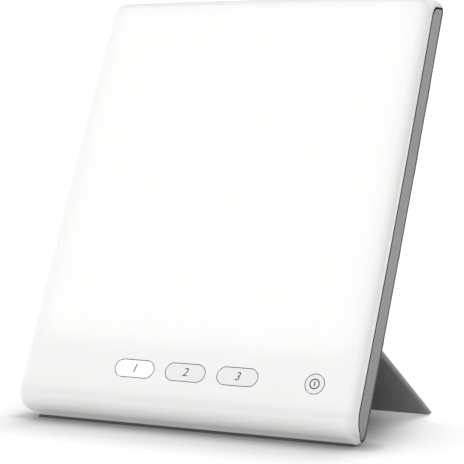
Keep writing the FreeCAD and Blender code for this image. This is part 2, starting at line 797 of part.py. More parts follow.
def chamber_outline(sketch, inset):
    rectangle(sketch, f"-({CHAMBER_HALF_WIDTH} - ({inset}))", f"{CHAMBER_HALF_WIDTH} - ({inset})",
              f"chamber_bottom + ({inset})", f"{CHAMBER_TOP} - ({inset})")


def round_chamber(body, radius):
    fillet(body, lambda edge: along(edge, Vector(0, 1, 0)), radius)


def make_diffuser_sheet():
    body = new_body("diffuser_body")
    sketch = new_sketch(body, "XZ_Plane", f"-{DIFFUSER_FRONT}")
    chamber_outline(sketch, "0")
    pad(body, sketch, "diffuser_thickness", backwards=True)
    round_chamber(body, "chamber_corner")
    return on_panel(body, "diffuser_sheet")


def make_reflector_frame():
    """A white box without ends: its walls slope in towards the heat spreader."""
    body = new_body("reflector_body")
    sketch = new_sketch(body, "XZ_Plane", f"-{DIFFUSER_BACK}")
    chamber_outline(sketch, "0")
    depth = f"spreader_depth - {DIFFUSER_BACK}"
    pad(body, sketch, depth, backwards=True)
    round_chamber(body, "chamber_corner")
    window = new_sketch(body, "XZ_Plane", f"-{DIFFUSER_BACK}")
    chamber_outline(window, "reflector_wall")
    pocket(body, window, depth, backwards=False, taper="-reflector_taper")
    return on_panel(body, "reflector_frame")


def make_heat_spreader():
    body = new_body("spreader_body")
    sketch = new_sketch(body, "XZ_Plane", "-spreader_depth")
    chamber_outline(sketch, "-spreader_margin / 2")
    pad(body, sketch, "spreader_thickness", backwards=True)
    round_chamber(body, "chamber_corner")
    holes = new_sketch(body, "XZ_Plane", "-spreader_depth")
    for x, z, foot in spreader_post_places():
        circle(holes, x, z, "small_screw_radius + screw_clearance")
    pocket(body, holes, "spreader_thickness")
    return on_panel(body, "heat_spreader")


def make_led_bars():
    """Narrow boards across the heat spreader, each with its own row of light diodes."""
    for number in range(LED_BARS):
        share = f"({number} + 0.5) / {LED_BARS}"
        middle = f"(chamber_bottom + {share} * ({CHAMBER_TOP} - chamber_bottom))"
        body = new_body(f"led_bar_body_{number + 1}")
        sketch = new_sketch(body, "XZ_Plane", f"-{BAR_FRONT}")
        rectangle(sketch, f"-{LED_BAR_LENGTH} / 2", f"{LED_BAR_LENGTH} / 2",
                  f"{middle} - led_bar_width / 2", f"{middle} + led_bar_width / 2")
        pad(body, sketch, "led_bar_thickness", backwards=True)
        on_panel(body, f"led_bar_{number + 1}")
        diodes = []
        for place in range(LEDS_PER_BAR):
            x = f"(({place} + 0.5) / {LEDS_PER_BAR} - 0.5) * {LED_BAR_LENGTH}"
            diodes.append(block("diode", (f"{x} - led_size / 2", f"{x} + led_size / 2"),
                                (f"{BAR_FRONT} - led_thickness", BAR_FRONT),
                                (f"{middle} - led_size / 2", f"{middle} + led_size / 2")))
        on_panel(group(f"diodes_{number + 1}", diodes), f"leds_{number + 1}")


# Screws

def screw(name, x, z, seat, forwards, radius, reach, head_radius, head_thickness):
    """A pan-head screw along Y, with a cross slot in its head.

    seat is the depth that the underside of the head rests on. Forwards, the
    thread runs towards the panel's front; otherwise towards its back.
    """
    far = f"({seat}) - ({reach})" if forwards else f"({seat}) + ({reach})"
    top = f"({seat}) + ({head_thickness})" if forwards else f"({seat}) - ({head_thickness})"
    slot_floor = f"({top}) - screw_slot_depth" if forwards else f"({top}) + screw_slot_depth"
    outside = f"({top}) + 1" if forwards else f"({top}) - 1"

    def order(one, other):
        return (one, other) if forwards else (other, one)
    shank = cylinder(f"{name}_shank", "y", (x, z), *order(far, seat), radius)
    head = cylinder(f"{name}_head", "y", (x, z), *order(seat, top), head_radius)
    scale = f"({head_radius}) / screw_head_radius"
    half_length = f"screw_slot_length / 2 * {scale}"
    half_width = f"screw_slot_width / 2 * {scale}"
    slots = []
    for across, up in ((half_length, half_width), (half_width, half_length)):
        slots.append(block(f"{name}_slot", (f"{x} - {across}", f"{x} + {across}"),
                           order(slot_floor, outside), (f"{z} - {up}", f"{z} + {up}")))
    return cut(f"{name}_solid", join(f"{name}_whole", [shank, head]), join(f"{name}_cross", slots))


def make_shell_screws():
    screws = [screw("shell_screw", x, z, SCREW_SEAT, True, "screw_radius",
                    f"{SCREW_SEAT} - shell_boss_depth + shell_screw_reach",
                    "screw_head_radius", "screw_head_thickness") for x, z in shell_screw_places()]
    return on_panel(group("shell_screw_set", screws), "housing_screws")


def small_screws(name, places, seat, forwards):
    return group(name, [screw(f"{name}_one", x, z, seat, forwards, "small_screw_radius",
                              "small_screw_length", "small_head_radius", "small_head_thickness")
                        for x, z in places])


def make_inner_screws():
    spreader = [(x, z) for x, z, foot in spreader_post_places()]
    on_panel(small_screws("spreader_set", spreader, "spreader_depth", False), "spreader_screws")
    on_panel(small_screws("control_set", board_post_places(), BOARD_BACK, True), "control_board_screws")
    on_panel(small_screws("driver_set", driver_post_places(), "driver_depth", False),
             "driver_board_screws")


# Electronics

def board(name, label, front, left, right, low, high, holes):
    """A circuit board with clearance holes for its screws."""
    body = new_body(name)
    sketch = new_sketch(body, "XZ_Plane", f"-{front}")
    rectangle(sketch, left, right, low, high)
    pad(body, sketch, "board_thickness", backwards=True)
    drill = new_sketch(body, "XZ_Plane", f"-{front}")
    for x, z in holes:
        circle(drill, x, z, "small_screw_radius + screw_clearance")
    pocket(body, drill, "board_thickness")
    return on_panel(body, label)


def make_boards():
    board("control_body", "control_board", "board_depth", BOARD_LEFT, BOARD_RIGHT,
          BOARD_BOTTOM, BOARD_TOP, board_post_places())
    board("driver_body", "driver_board", "driver_depth", DRIVER_LEFT, DRIVER_RIGHT,
          DRIVER_BOTTOM, DRIVER_TOP, driver_post_places())


def make_switches():
    """A tact switch behind each button: its case stays, its plunger moves with the button."""
    for label, x, z, length, width in button_places():
        case = block(f"switch_case_{label}", (f"{x} - switch_size / 2", f"{x} + switch_size / 2"),
                     (SWITCH_FRONT, "board_depth"), (f"{z} - switch_size / 2", f"{z} + switch_size / 2"))
        way = cylinder(f"switch_way_{label}", "y", (x, z), f"{SWITCH_FRONT} - 1",
                       f"{SWITCH_FRONT} + plunger_engagement + button_travel + plunger_clearance",
                       "plunger_radius + plunger_clearance")
        on_panel(cut(f"switch_solid_{label}", case, way), f"switch_{label}")
        plunger = cylinder(f"plunger_rod_{label}", "y", (x, z), PLUNGER_FRONT,
                           f"{SWITCH_FRONT} + plunger_engagement", "plunger_radius")
        on_panel(group(f"plunger_solid_{label}", [plunger]), f"plunger_{label}")


def make_buttons():
    """Push caps: a face in the shell's opening, a flange behind it and a stem to the switch."""
    for label, x, z, length, width in button_places():
        body = new_body(f"button_body_{label}")
        face = new_sketch(body, "XZ_Plane", "button_proud")
        button_outline(face, x, z, length, width, "-button_gap")
        pad(body, face, f"button_proud + {FLANGE_FRONT}", backwards=True)
        front = -value("button_proud")
        fillet(body, lambda edge: lies_at(edge, "y", front), "button_edge")
        flange = new_sketch(body, "XZ_Plane", f"-{FLANGE_FRONT}")
        button_outline(flange, x, z, length, width, "flange_lip")
        pad(body, flange, "flange_thickness", backwards=True)
        stem = new_sketch(body, "XZ_Plane", f"-{FLANGE_BACK}")
        circle(stem, x, z, "stem_radius")
        pad(body, stem, f"{PLUNGER_FRONT} - {FLANGE_BACK}", backwards=True)
        on_panel(body, f"button_{label}")


def make_mode_leds():
    """A small diode on the control board beside each mode switch, to light its button."""
    lights = []
    for label, x, z, length, width in button_places()[:-1]:
        middle = f"({x} + mode_led_offset)"
        lights.append(block("mode_led", (f"{middle} - mode_led_length / 2", f"{middle} + mode_led_length / 2"),
                            ("board_depth - mode_led_thickness", "board_depth"),
                            (f"{z} - mode_led_width / 2", f"{z} + mode_led_width / 2")))
    return on_panel(group("mode_led_set", lights), "mode_leds")


def make_driver_parts():
    """The capacitors, choke and chip on the driver board."""
    parts = []
    for number in range(2):
        x = f"(capacitor_place + {number} * capacitor_spacing)"
        parts.append(cylinder("capacitor", "y", (x, "(pill_height + capacitor_height)"),
                              "driver_depth - capacitor_length", "driver_depth", "capacitor_radius"))
    middle = f"(({DRIVER_BOTTOM} + {DRIVER_TOP}) / 2)"
    parts.append(block("choke", ("choke_place - choke_size / 2", "choke_place + choke_size / 2"),
                       ("driver_depth - choke_thickness", "driver_depth"),
                       (f"{middle} - choke_size / 2", f"{middle} + choke_size / 2")))
    parts.append(block("chip", ("chip_place - chip_length / 2", "chip_place + chip_length / 2"),
                       ("driver_depth - chip_thickness", "driver_depth"),
                       (f"{middle} - chip_width / 2", f"{middle} + chip_width / 2")))
    return on_panel(group("driver_part_set", parts), "driver_parts")


def make_board_connector():
    """The pin header that joins the control board to the driver board."""
    top = f"({BOARD_TOP} - connector_below_top)"
    header = block("header", (f"{CONNECTOR_PLACE} - connector_length / 2",
                              f"{CONNECTOR_PLACE} + connector_length / 2"),
                   (BOARD_BACK, "driver_depth"), (f"{top} - connector_width", top))
    return on_panel(group("header_set", [header]), "board_connector")


def make_inlet():
    """The low-voltage inlet behind its hole in the back wall, and its centre pin."""
    case = block("inlet_case", (f"{INLET_PLACE} - inlet_width / 2", f"{INLET_PLACE} + inlet_width / 2"),
                 (f"{BACK_INSIDE} - inlet_length", BACK_INSIDE),
                 ("inlet_height - inlet_tall / 2", "inlet_height + inlet_tall / 2"))
    way = cylinder("inlet_way", "y", (INLET_PLACE, "inlet_height"),
                   f"{BACK_INSIDE} - inlet_bore_depth", f"{BACK_INSIDE} + 1", "inlet_bore_radius")
    on_panel(cut("inlet_solid", case, way), "dc_inlet")
    contact = cylinder("inlet_contact", "y", (INLET_PLACE, "inlet_height"),
                       f"{BACK_INSIDE} - inlet_bore_depth",
                       f"{BACK_INSIDE} - inlet_bore_depth + inlet_pin_length", "inlet_pin_radius")
    on_panel(group("inlet_contact_set", [contact]), "dc_inlet_pin")


def bent_wire(start, middle, end, direction):
    """A round wire through three points, which leaves and arrives along one direction."""
    curve = Part.BSplineCurve()
    curve.interpolate(Points=[start, middle, end], InitialTangent=direction, FinalTangent=direction)
    path = Part.Wire([curve.toShape()])
    section = Part.Wire([Part.makeCircle(value("wire_radius"), start, direction)])
    return path.makePipeShell([section], True, False)


def make_wires():
    """The two supply wires and the two wires that feed the light diodes."""
    depth = value(f"driver_depth + board_thickness / 2")
    spreader_middle = value("spreader_depth + spreader_thickness / 2")
    inlet_side = value(f"{INLET_PLACE} + inlet_width / 2")
    board_side = value(DRIVER_LEFT)
    board_top = value(DRIVER_TOP)
    spreader_edge = value("chamber_bottom - spreader_margin / 2")
    supply = []
    feed = []
    for side in SIDES:
        shift = side * value("wire_spacing") / 2
        height = value("inlet_height") + shift
        bow = Vector((inlet_side + board_side) / 2, depth - value("wire_sag"), height)
        supply.append(bent_wire(Vector(inlet_side, depth, height), bow,
                                Vector(board_side, depth, height), Vector(1, 0, 0)))
        place = value("led_wire_place") + shift
        start = Vector(place, depth, board_top)
        end = Vector(place, spreader_middle, spreader_edge)
        feed.append(bent_wire(start, (start + end) / 2, end, Vector(0, 0, 1)))
    for label, wires in (("power_wires", supply), ("led_wires", feed)):
        loom = doc.addObject("Part::Feature", f"{label}_solids")
        loom.Shape = Part.makeCompound(wires)
        on_panel(loom, label)


# Trim on the back and what the panel stands on

def make_blank_plate():
    body = new_body("plate_body")
    sketch = new_sketch(body, "XZ_Plane", "-(panel_depth - plate_thickness)")
    rectangle(sketch, "-plate_length / 2", "plate_length / 2", f"{PLATE_HEIGHT} - plate_width / 2",
              f"{PLATE_HEIGHT} + plate_width / 2")
    pad(body, sketch, "plate_thickness", backwards=True)
    return on_panel(body, "blank_plate")


def make_foot_strip():
    """A rubber strip under the bottom's back edge; its sole lies flat on the floor."""
    body = new_body("foot_strip_body")
    sketch = new_sketch(body, "YZ_Plane")
    rear = "(panel_depth - back_radius)"
    fore = f"({rear} - foot_strip_width)"

    def sole(depth):
        return f"({depth} * sin(lean_angle) - {FLOOR_DROP}) / cos(lean_angle)"
    polygon(sketch, [(fore, sole(fore)), (rear, sole(rear)), (rear, "0"), (fore, "0")])
    pad(body, sketch, "panel_width - 2 * foot_strip_end", both_ways=True)
    return on_panel(body, "foot_strip")


# The stand, drawn about its hinge axis: Y = 0 is the middle of its thickness

def stand_edge_at(depth):
    """How far the bevelled free end reaches at a depth across the thickness."""
    return f"(stand_length - (({depth}) + {KNUCKLE}) / tan({SLOPE}))"


def slab(body, near, far, low, inset):
    """A plate of the stand between two depths, set in at its sides and free end."""
    sketch = new_sketch(body, "YZ_Plane")
    polygon(sketch, [(near, low), (far, low), (far, f"{stand_edge_at(far)} - ({inset})"),
                     (near, f"{stand_edge_at(near)} - ({inset})")])
    return pad(body, sketch, f"2 * ({STAND_HALF_WIDTH} - ({inset}))", both_ways=True)


FRAME_BACK = f"(frame_thickness - {KNUCKLE})"
COVER_START = f"({KNUCKLE} + stand_clearance)"


def stand_screw_places():
    """Where the screws that hold the stand's two layers together stand, as X and Z."""
    return [(f"({side} * ({STAND_HALF_WIDTH} - stand_screw_side))", height) for side in SIDES
            for height in ("stand_screw_start", "(stand_length - stand_screw_end)")]


def make_stand_cover():
    """The outer skin of the stand, flush with the panel's back when it is folded in."""
    body = new_body("stand_cover_body")
    slab(body, f"({FRAME_BACK} + groove_height)", KNUCKLE, COVER_START, "0")
    face = value(KNUCKLE)
    fillet(body, lambda edge: lies_at(edge, "y", face), "stand_edge")
    slab(body, FRAME_BACK, f"({FRAME_BACK} + groove_height)", COVER_START, "groove_inset")
    holes = new_sketch(body, "XZ_Plane", f"-({FRAME_BACK})")
    for x, z in stand_screw_places():
        circle(holes, x, z, "small_screw_radius + screw_grip")
    pocket(body, holes, "stand_screw_reach")
    return on_stand(body, "stand_cover")


def make_stand_frame():
    """The inner plate of the stand, with its hinge barrel and lightening pockets."""
    body = new_body("stand_frame_body")
    slab(body, f"(-{KNUCKLE})", FRAME_BACK, "0", "0")
    barrel = new_sketch(body, "YZ_Plane")
    circle(barrel, "0", "0", KNUCKLE)
    pad(body, barrel, f"2 * {STAND_HALF_WIDTH}", both_ways=True)
    span = f"(2 * ({STAND_HALF_WIDTH} - frame_pocket_side) + frame_pocket_rib)"
    rise = "(stand_length - frame_pocket_end - frame_pocket_start + frame_pocket_rib)"
    left = f"(frame_pocket_side - {STAND_HALF_WIDTH})"
    for row in range(POCKET_ROWS):
        low = f"(frame_pocket_start + {row} * {rise} / {POCKET_ROWS})"
        recess = new_sketch(body, "XZ_Plane", KNUCKLE)
        rectangle(recess, left, f"{left} + {span} / {POCKET_COLUMNS} - frame_pocket_rib", low,
                  f"{low} + {rise} / {POCKET_ROWS} - frame_pocket_rib")
        first = pocket(body, recess, "frame_pocket_depth")
        repeat(body, first, "X_Axis", f"{POCKET_COLUMNS - 1} * {span} / {POCKET_COLUMNS}", POCKET_COLUMNS)
    deep = value("frame_pocket_depth")
    fillet(body, lambda edge: along(edge, Vector(0, 1, 0)) and abs(edge.Length - deep) < 0.01,
           "frame_pocket_corner")

    holes = []
    for start, end in lug_spans():
        holes.append(block("lug_slot", (f"{start} - lug_clearance", f"{end} + lug_clearance"),
                           ("-stand_thickness", "stand_thickness"),
                           ("-stand_thickness", f"{KNUCKLE} + lug_clearance")))
    for side in SIDES:
        inner = f"({LUG_START} + lug_width / 2)"
        outside = f"({STAND_HALF_WIDTH} + 1)"
        span = (inner, outside) if side > 0 else (f"-{outside}", f"-{inner}")
        holes.append(cylinder("barrel_bore", "x", ("0", "0"), *span,
                              "rod_radius + rod_running_clearance"))
    for x, z in stand_screw_places():
        holes.append(cylinder("frame_screw_way", "y", (x, z), f"-{KNUCKLE} - 1", KNUCKLE,
                              "small_screw_radius + screw_clearance"))
        holes.append(cylinder("frame_screw_sink", "y", (x, z), f"-{KNUCKLE} - 1",
                              f"-{KNUCKLE} + stand_head_thickness + 0.1",
                              "small_head_radius + screw_clearance"))
    return on_stand(cut("stand_frame_solid", body, group("frame_holes", holes)), "stand_frame")


def make_stand_screws():
    """Flat screws sunk into the frame, which hold the cover to it."""
    screws = [screw("stand_screw", x, z, f"(-{KNUCKLE} + stand_head_thickness + 0.1)", False,
                    "small_screw_radius",
                    f"frame_thickness - stand_head_thickness - 0.1 + stand_screw_reach",
                    "small_head_radius", "stand_head_thickness") for x, z in stand_screw_places()]
    return on_stand(group("stand_screw_set", screws), "stand_screws")


def make_stand_pads():
    """Two rubber pads on the stand's bevelled end; they meet the floor flat."""
    pads = []
    for side in SIDES:
        body = new_body("stand_pad_body")
        offset = "(pad_place - pad_length / 2)" if side > 0 else "(-pad_place - pad_length / 2)"
        sketch = new_sketch(body, "YZ_Plane", offset)
        top = (f"({KNUCKLE} - pad_inset)", f"(-{KNUCKLE} + pad_inset)")
        drop = (f"pad_height * cos({SLOPE})", f"pad_height * sin({SLOPE})")
        polygon(sketch, [(top[0], stand_edge_at(top[0])), (top[1], stand_edge_at(top[1])),
                         (f"{top[1]} + {drop[0]}", f"{stand_edge_at(top[1])} + {drop[1]}"),
                         (f"{top[0]} + {drop[0]}", f"{stand_edge_at(top[0])} + {drop[1]}")])
        pad(body, sketch, "pad_length")
        pads.append(body)
    return on_stand(group("stand_pad_set", pads), "stand_pads")


def make_hinge_rods():
    """A steel rod through each pair of lugs and the barrel between them."""
    rods = []
    for side in SIDES:
        span = (LUG_START, ROD_END) if side > 0 else (f"-{ROD_END}", f"-{LUG_START}")
        rods.append(cylinder("hinge_rod", "x", (HINGE_DEPTH, "hinge_height"), *span, "rod_radius"))
    return on_panel(group("hinge_rod_set", rods), "hinge_rods")


def make_friction_washers():
    """Thin washers between the lugs and the barrel, which keep the stand from flapping."""
    washers = []
    for side in SIDES:
        faces = (f"({LUG_START} + lug_width)", f"({LUG_START} + lug_spacing - washer_thickness)")
        for start in faces:
            near = start if side > 0 else f"-({start} + washer_thickness)"
            far = f"({near} + washer_thickness)"
            disc = cylinder("washer_disc", "x", (HINGE_DEPTH, "hinge_height"), near, far,
                            "washer_radius")
            hole = cylinder("washer_hole", "x", (HINGE_DEPTH, "hinge_height"), f"{near} - 1",
                            f"{far} + 1", "rod_radius + rod_fit")
            washers.append(cut("washer", disc, hole))
    return on_panel(group("washer_set", washers), "friction_washers")


def check_pieces():
    """Stop where an object failed to compute or a piece is not a sound solid."""
    for item in doc.Objects:
        if "Invalid" in item.State or "Error" in item.State:
            raise RuntimeError(f"{item.Label} did not compute: {item.State}")
    for piece in pieces:
        if piece.Shape.isNull() or not piece.Shape.isValid() or not piece.Shape.Solids:
            raise RuntimeError(f"{piece.Label} is not a valid solid")


outer_envelope = envelope("outer_envelope", "0")
round_back(outer_envelope)
inner_cavity = envelope("inner_cavity", "wall")
parting = front_zone("front_zone", "0")
make_front_shell(outer_envelope, inner_cavity, parting)
make_rear_housing(outer_envelope, inner_cavity, parting)
make_diffuser_sheet()
make_reflector_frame()
make_heat_spreader()
make_led_bars()
make_shell_screws()
make_inner_screws()
make_boards()
make_switches()
make_buttons()
make_mode_leds()
make_driver_parts()
make_board_connector()
make_inlet()
make_wires()
make_blank_plate()
make_foot_strip()
make_stand_cover()
make_stand_frame()
make_stand_screws()
make_stand_pads()
make_hinge_rods()
make_friction_washers()
doc.recompute()
check_pieces()

os.makedirs("parts", exist_ok=True)
for piece in pieces:
    piece.Shape.exportStep(f"parts/{piece.Label}.step")
    print(f"{piece.Label}: {len(piece.Shape.Solids)} solids, {piece.Shape.Volume:.0f} mm3")
print(f"{len(pieces)} pieces")
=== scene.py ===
# %% [markdown]
# # A light therapy lamp
#
# The lamp is a flat white panel that shines through its own glossy front, leans back on a
# fold-out stand, and is worked by three pill-shaped buttons and a round power button.
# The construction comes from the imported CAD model. This lesson gives it its finishes, its
# printed marks, its light and its camera. Everything is in metres, in the CAD frame.

# %% Load the frame
import json
import math

import bmesh
import bpy
from mathutils import Matrix, Vector


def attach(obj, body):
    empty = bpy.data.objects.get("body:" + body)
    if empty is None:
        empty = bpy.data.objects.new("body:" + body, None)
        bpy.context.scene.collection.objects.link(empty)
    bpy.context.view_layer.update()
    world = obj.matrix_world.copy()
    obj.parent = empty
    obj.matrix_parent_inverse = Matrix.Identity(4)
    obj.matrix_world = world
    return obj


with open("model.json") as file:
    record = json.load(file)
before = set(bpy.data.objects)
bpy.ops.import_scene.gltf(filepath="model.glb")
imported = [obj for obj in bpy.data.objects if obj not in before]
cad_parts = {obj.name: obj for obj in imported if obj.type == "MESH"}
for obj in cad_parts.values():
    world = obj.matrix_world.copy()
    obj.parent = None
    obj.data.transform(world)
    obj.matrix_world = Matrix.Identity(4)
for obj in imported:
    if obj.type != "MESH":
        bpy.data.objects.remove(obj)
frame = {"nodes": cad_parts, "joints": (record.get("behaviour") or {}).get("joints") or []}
nodes = frame["nodes"]
scene = bpy.context.scene
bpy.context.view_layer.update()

# %% [markdown]
# ## Finding the panel's own axes
#
# The front face leans back, so it helps to work in the panel's own frame: x to the right,
# y into the panel, z up its front. The buttons travel straight in, so the axis of their
# joints is the y direction. The corner of the frame is where the front face and the bottom
# edge would meet, and it comes from the front shell's own points.

# %% The panel's frame
INWARD = Vector(next(j["axis"] for j in frame["joints"] if j["name"] == "button_power_press"))
LEAN = math.atan2(-INWARD.z, INWARD.y)
UPWARD = Vector((0, math.sin(LEAN), math.cos(LEAN)))
shell_points = [v.co for v in nodes["front_shell"].data.vertices]
FRONT_DEPTH = min(p.dot(INWARD) for p in shell_points)
BOTTOM_HEIGHT = min(p.dot(UPWARD) for p in shell_points)
PANEL = (Matrix.Translation(FRONT_DEPTH * INWARD + BOTTOM_HEIGHT * UPWARD)
         @ Matrix.Rotation(-LEAN, 4, "X"))
TO_PANEL = PANEL.inverted()
print(f"The panel leans {math.degrees(LEAN):.2f} degrees")

# %% [markdown]
# ## Camera
#
# A long lens from the right keeps the panel's edges nearly parallel. The camera's place,
# turn and tilt are real values in the CAD frame, and the small shift only sets where the
# lamp falls in the square picture.

# %% Camera
PICTURE = 464                    # the picture's side, in pixels
SENSOR = 36                      # mm
FOCAL_PIXELS = 1774.87           # the lens, in pixels of that picture
OPTICAL_CENTRE = (234.81, 226.11)
CAMERA_PLACE = Vector((0.59033, -1.18120, 0.24316))
CAMERA_TURN = math.radians(26.494)
CAMERA_TILT = math.radians(4.353)

camera = bpy.data.objects.new("camera", bpy.data.cameras.new("camera"))
scene.collection.objects.link(camera)
camera.data.sensor_width = SENSOR
camera.data.lens = FOCAL_PIXELS * SENSOR / PICTURE
camera.data.shift_x = (PICTURE / 2 - OPTICAL_CENTRE[0]) / PICTURE
camera.data.shift_y = (OPTICAL_CENTRE[1] - PICTURE / 2) / PICTURE
camera.location = CAMERA_PLACE
camera.rotation_euler = (math.pi / 2 - CAMERA_TILT, 0, CAMERA_TURN)
scene.camera = camera
print(f"Lens {camera.data.lens:.1f} mm, shift {camera.data.shift_x:.4f}, {camera.data.shift_y:.4f}")

# %% [markdown]
# ## Studio
#
# A white product on a white ground needs light from nearly everywhere. A pale floor catches
# the soft shadows. A point or an area light would fall off towards the horizon and leave the
# floor grey there, so the light comes from the world, which is as even as a tent of white
# cloth: some from everywhere, and more from a few wide soft boxes, most of them behind and
# above the lamp. Standard colour keeps white at full white.

# %% Floor
FLOOR_SIDE = 40.0

scene.view_settings.view_transform = "Standard"

floor_shape = bmesh.new()
bmesh.ops.create_grid(floor_shape, x_segments=1, y_segments=1, size=FLOOR_SIDE / 2)
floor_mesh = bpy.data.meshes.new("floor")
floor_shape.to_mesh(floor_mesh)
floor_shape.free()
floor = bpy.data.objects.new("floor", floor_mesh)
scene.collection.objects.link(floor)
floor_material = bpy.data.materials.new("pale floor")
floor_material.use_nodes = True
floor_shader = floor_material.node_tree.nodes["Principled BSDF"]
floor_shader.inputs["Roughness"].default_value = 0.9
floor_shader.inputs["Specular IOR Level"].default_value = 0.0
floor_shader.inputs["Emission Strength"].default_value = 1.0
floor_mesh.materials.append(floor_material)
print("Floor", FLOOR_SIDE, "m wide")

# %% [markdown]
# ## Node helpers
#
# Each shared effect is a node group with named sockets. These helpers keep the groups short
# to read. Most of them add one node, whose inputs are either fixed values or the sockets that
# feed them, and return the socket that comes out.

# %% Groups and their sockets
FLOAT, COLOUR, VECTOR = "NodeSocketFloat", "NodeSocketColor", "NodeSocketVector"


def new_group(name, inputs, outputs):
    """A shader node group with named sockets, and its input and output nodes."""
    group = bpy.data.node_groups.new(name, "ShaderNodeTree")
    for label, kind in inputs:
        group.interface.new_socket(name=label, in_out="INPUT", socket_type=kind)
    for label, kind in outputs:
        group.interface.new_socket(name=label, in_out="OUTPUT", socket_type=kind)
    return group, group.nodes.new("NodeGroupInput"), group.nodes.new("NodeGroupOutput")


def add_group(tree, group, values=None):
    """A group placed in a material or in another group, with its own values by socket name."""
    node = tree.nodes.new("ShaderNodeGroup")
    node.node_tree = group
    for label, value in (values or {}).items():
        node.inputs[label].default_value = value
    return node


def feed(tree, socket, value):
    """Set an input to a fixed value, or link it to the socket that feeds it."""
    if isinstance(value, bpy.types.NodeSocket):
        tree.links.new(value, socket)
    else:
        socket.default_value = value


# %% Sums on values
def math_node(tree, operation, *values, clamp=False):
    """A Math node. Each of its inputs is a number or the socket that feeds it."""
    node = tree.nodes.new("ShaderNodeMath")
    node.operation = operation
    node.use_clamp = clamp
    for socket, value in zip(node.inputs, values):
        feed(tree, socket, value)
    return node.outputs[0]


def product(tree, result, *factors):
    """Values multiplied together, such as masks that all have to hold."""
    for factor in factors:
        result = math_node(tree, "MULTIPLY", result, factor)
    return result


def diagonal(tree, *sides):
    """The straight distance of a step that goes two ways at once."""
    squares = [math_node(tree, "MULTIPLY", side, side) for side in sides]
    return math_node(tree, "SQRT", math_node(tree, "ADD", *squares))


def ramp(tree, value, start, end, low=0.0, high=1.0):
    """A soft step: low where a value is at start, high where it is at end."""
    node = tree.nodes.new("ShaderNodeMapRange")
    node.interpolation_type = "SMOOTHSTEP"
    for label, number in (("From Min", start), ("From Max", end), ("To Min", low), ("To Max", high)):
        node.inputs[label].default_value = number
    tree.links.new(value, node.inputs["Value"])
    return node.outputs["Result"]


# %% Places, directions and colours
def object_place(tree):
    """Where a point is, in Object coordinates."""
    return tree.nodes.new("ShaderNodeTexCoord").outputs["Object"]


def along(tree, vector, direction):
    """How far a vector socket points along a direction."""
    node = tree.nodes.new("ShaderNodeVectorMath")
    node.operation = "DOT_PRODUCT"
    tree.links.new(vector, node.inputs[0])
    node.inputs[1].default_value = direction
    return node.outputs["Value"]


def facing(tree, direction):
    """How far the surface faces a direction: 1 straight towards it, 0 across it."""
    return along(tree, tree.nodes.new("ShaderNodeNewGeometry").outputs["Normal"], direction)


def mix_colours(tree, mask, under, over):
    """One colour where a mask is 0 and another where it is 1."""
    mix = tree.nodes.new("ShaderNodeMix")
    mix.data_type = "RGBA"
    tree.links.new(mask, mix.inputs["Factor"])
    feed(tree, mix.inputs[6], under)     # the node's colour sockets share their names with others
    feed(tree, mix.inputs[7], over)
    return mix.outputs[2]


# %% [markdown]
# ## The light table and the painted shadows
#
# The floor glows a little from below, which lifts every shadow. Under and around the lamp that
# glow is taken away, the more the nearer to its foot: a painted shadow. A painted pool of light
# on either side shows between the panel and its stand. Right at the foot the floor's colour is
# darker as well: a painted contact shadow. Real lights under a glass floor would need far more
# samples, so the floor's own glow and tone change with the place instead.

# %% The floor's glow and its painted shadows
FLOOR_TONE = 0.86
CONTACT_SHADOW_TONE = 0.56              # painted contact shadow, right at the foot
FLOOR_GLOW = 0.24
SPOT_PAINTED_LIGHT = 0.17                 # painted pools of light beside the stand
SPOT_ASIDE, SPOT_BACK = 0.130, 0.070
SPOT_REACH = 0.050
PAINTED_SHADOW_WIDTH = (0.165, 0.120)    # each pair: where the painted shadow starts and where it is full
PAINTED_SHADOW_FRONT = (-0.165, -0.080)
PAINTED_SHADOW_BACK = (0.040, -0.030)
SLANT_FROM = 0.090               # nearer the middle the painted shadow's back edge is straight, then it slants
SLANT_AT = 0.125                 # how far aside the places in PAINTED_SHADOW_BACK hold
CONTACT_SHADOW_WIDTH = (0.155, 0.135)   # each pair: where the painted contact shadow starts and where it is full
CONTACT_SHADOW_FRONT = (-0.088, -0.074)
CONTACT_SHADOW_BACK = (-0.045, -0.065)

floor_tree = floor_material.node_tree
floor_place = floor_tree.nodes.new("ShaderNodeSeparateXYZ")
floor_tree.links.new(object_place(floor_tree), floor_place.inputs["Vector"])
back = floor_place.outputs["Y"]
aside = math_node(floor_tree, "ABSOLUTE", floor_place.outputs["X"])
slant = math_node(floor_tree, "SUBTRACT", math_node(floor_tree, "MAXIMUM", aside, SLANT_FROM), SLANT_AT)
# painted shadow: the floor's glow is taken away under and around the lamp
painted_floor_shadow = product(floor_tree, ramp(floor_tree, aside, *PAINTED_SHADOW_WIDTH),
                 ramp(floor_tree, back, *PAINTED_SHADOW_FRONT),
                 ramp(floor_tree, math_node(floor_tree, "ADD", back, slant), *PAINTED_SHADOW_BACK))
# a painted pool of light on the floor on either side, between the panel and the stand
from_spot = diagonal(floor_tree, math_node(floor_tree, "SUBTRACT", aside, SPOT_ASIDE),
                     math_node(floor_tree, "SUBTRACT", back, SPOT_BACK))
painted_floor_light = ramp(floor_tree, from_spot, SPOT_REACH, 0.0, 0.0, SPOT_PAINTED_LIGHT)
kept = math_node(floor_tree, "MULTIPLY_ADD", painted_floor_shadow, -FLOOR_GLOW, FLOOR_GLOW)
feed(floor_tree, floor_shader.inputs["Emission Color"], math_node(floor_tree, "ADD", kept, painted_floor_light))
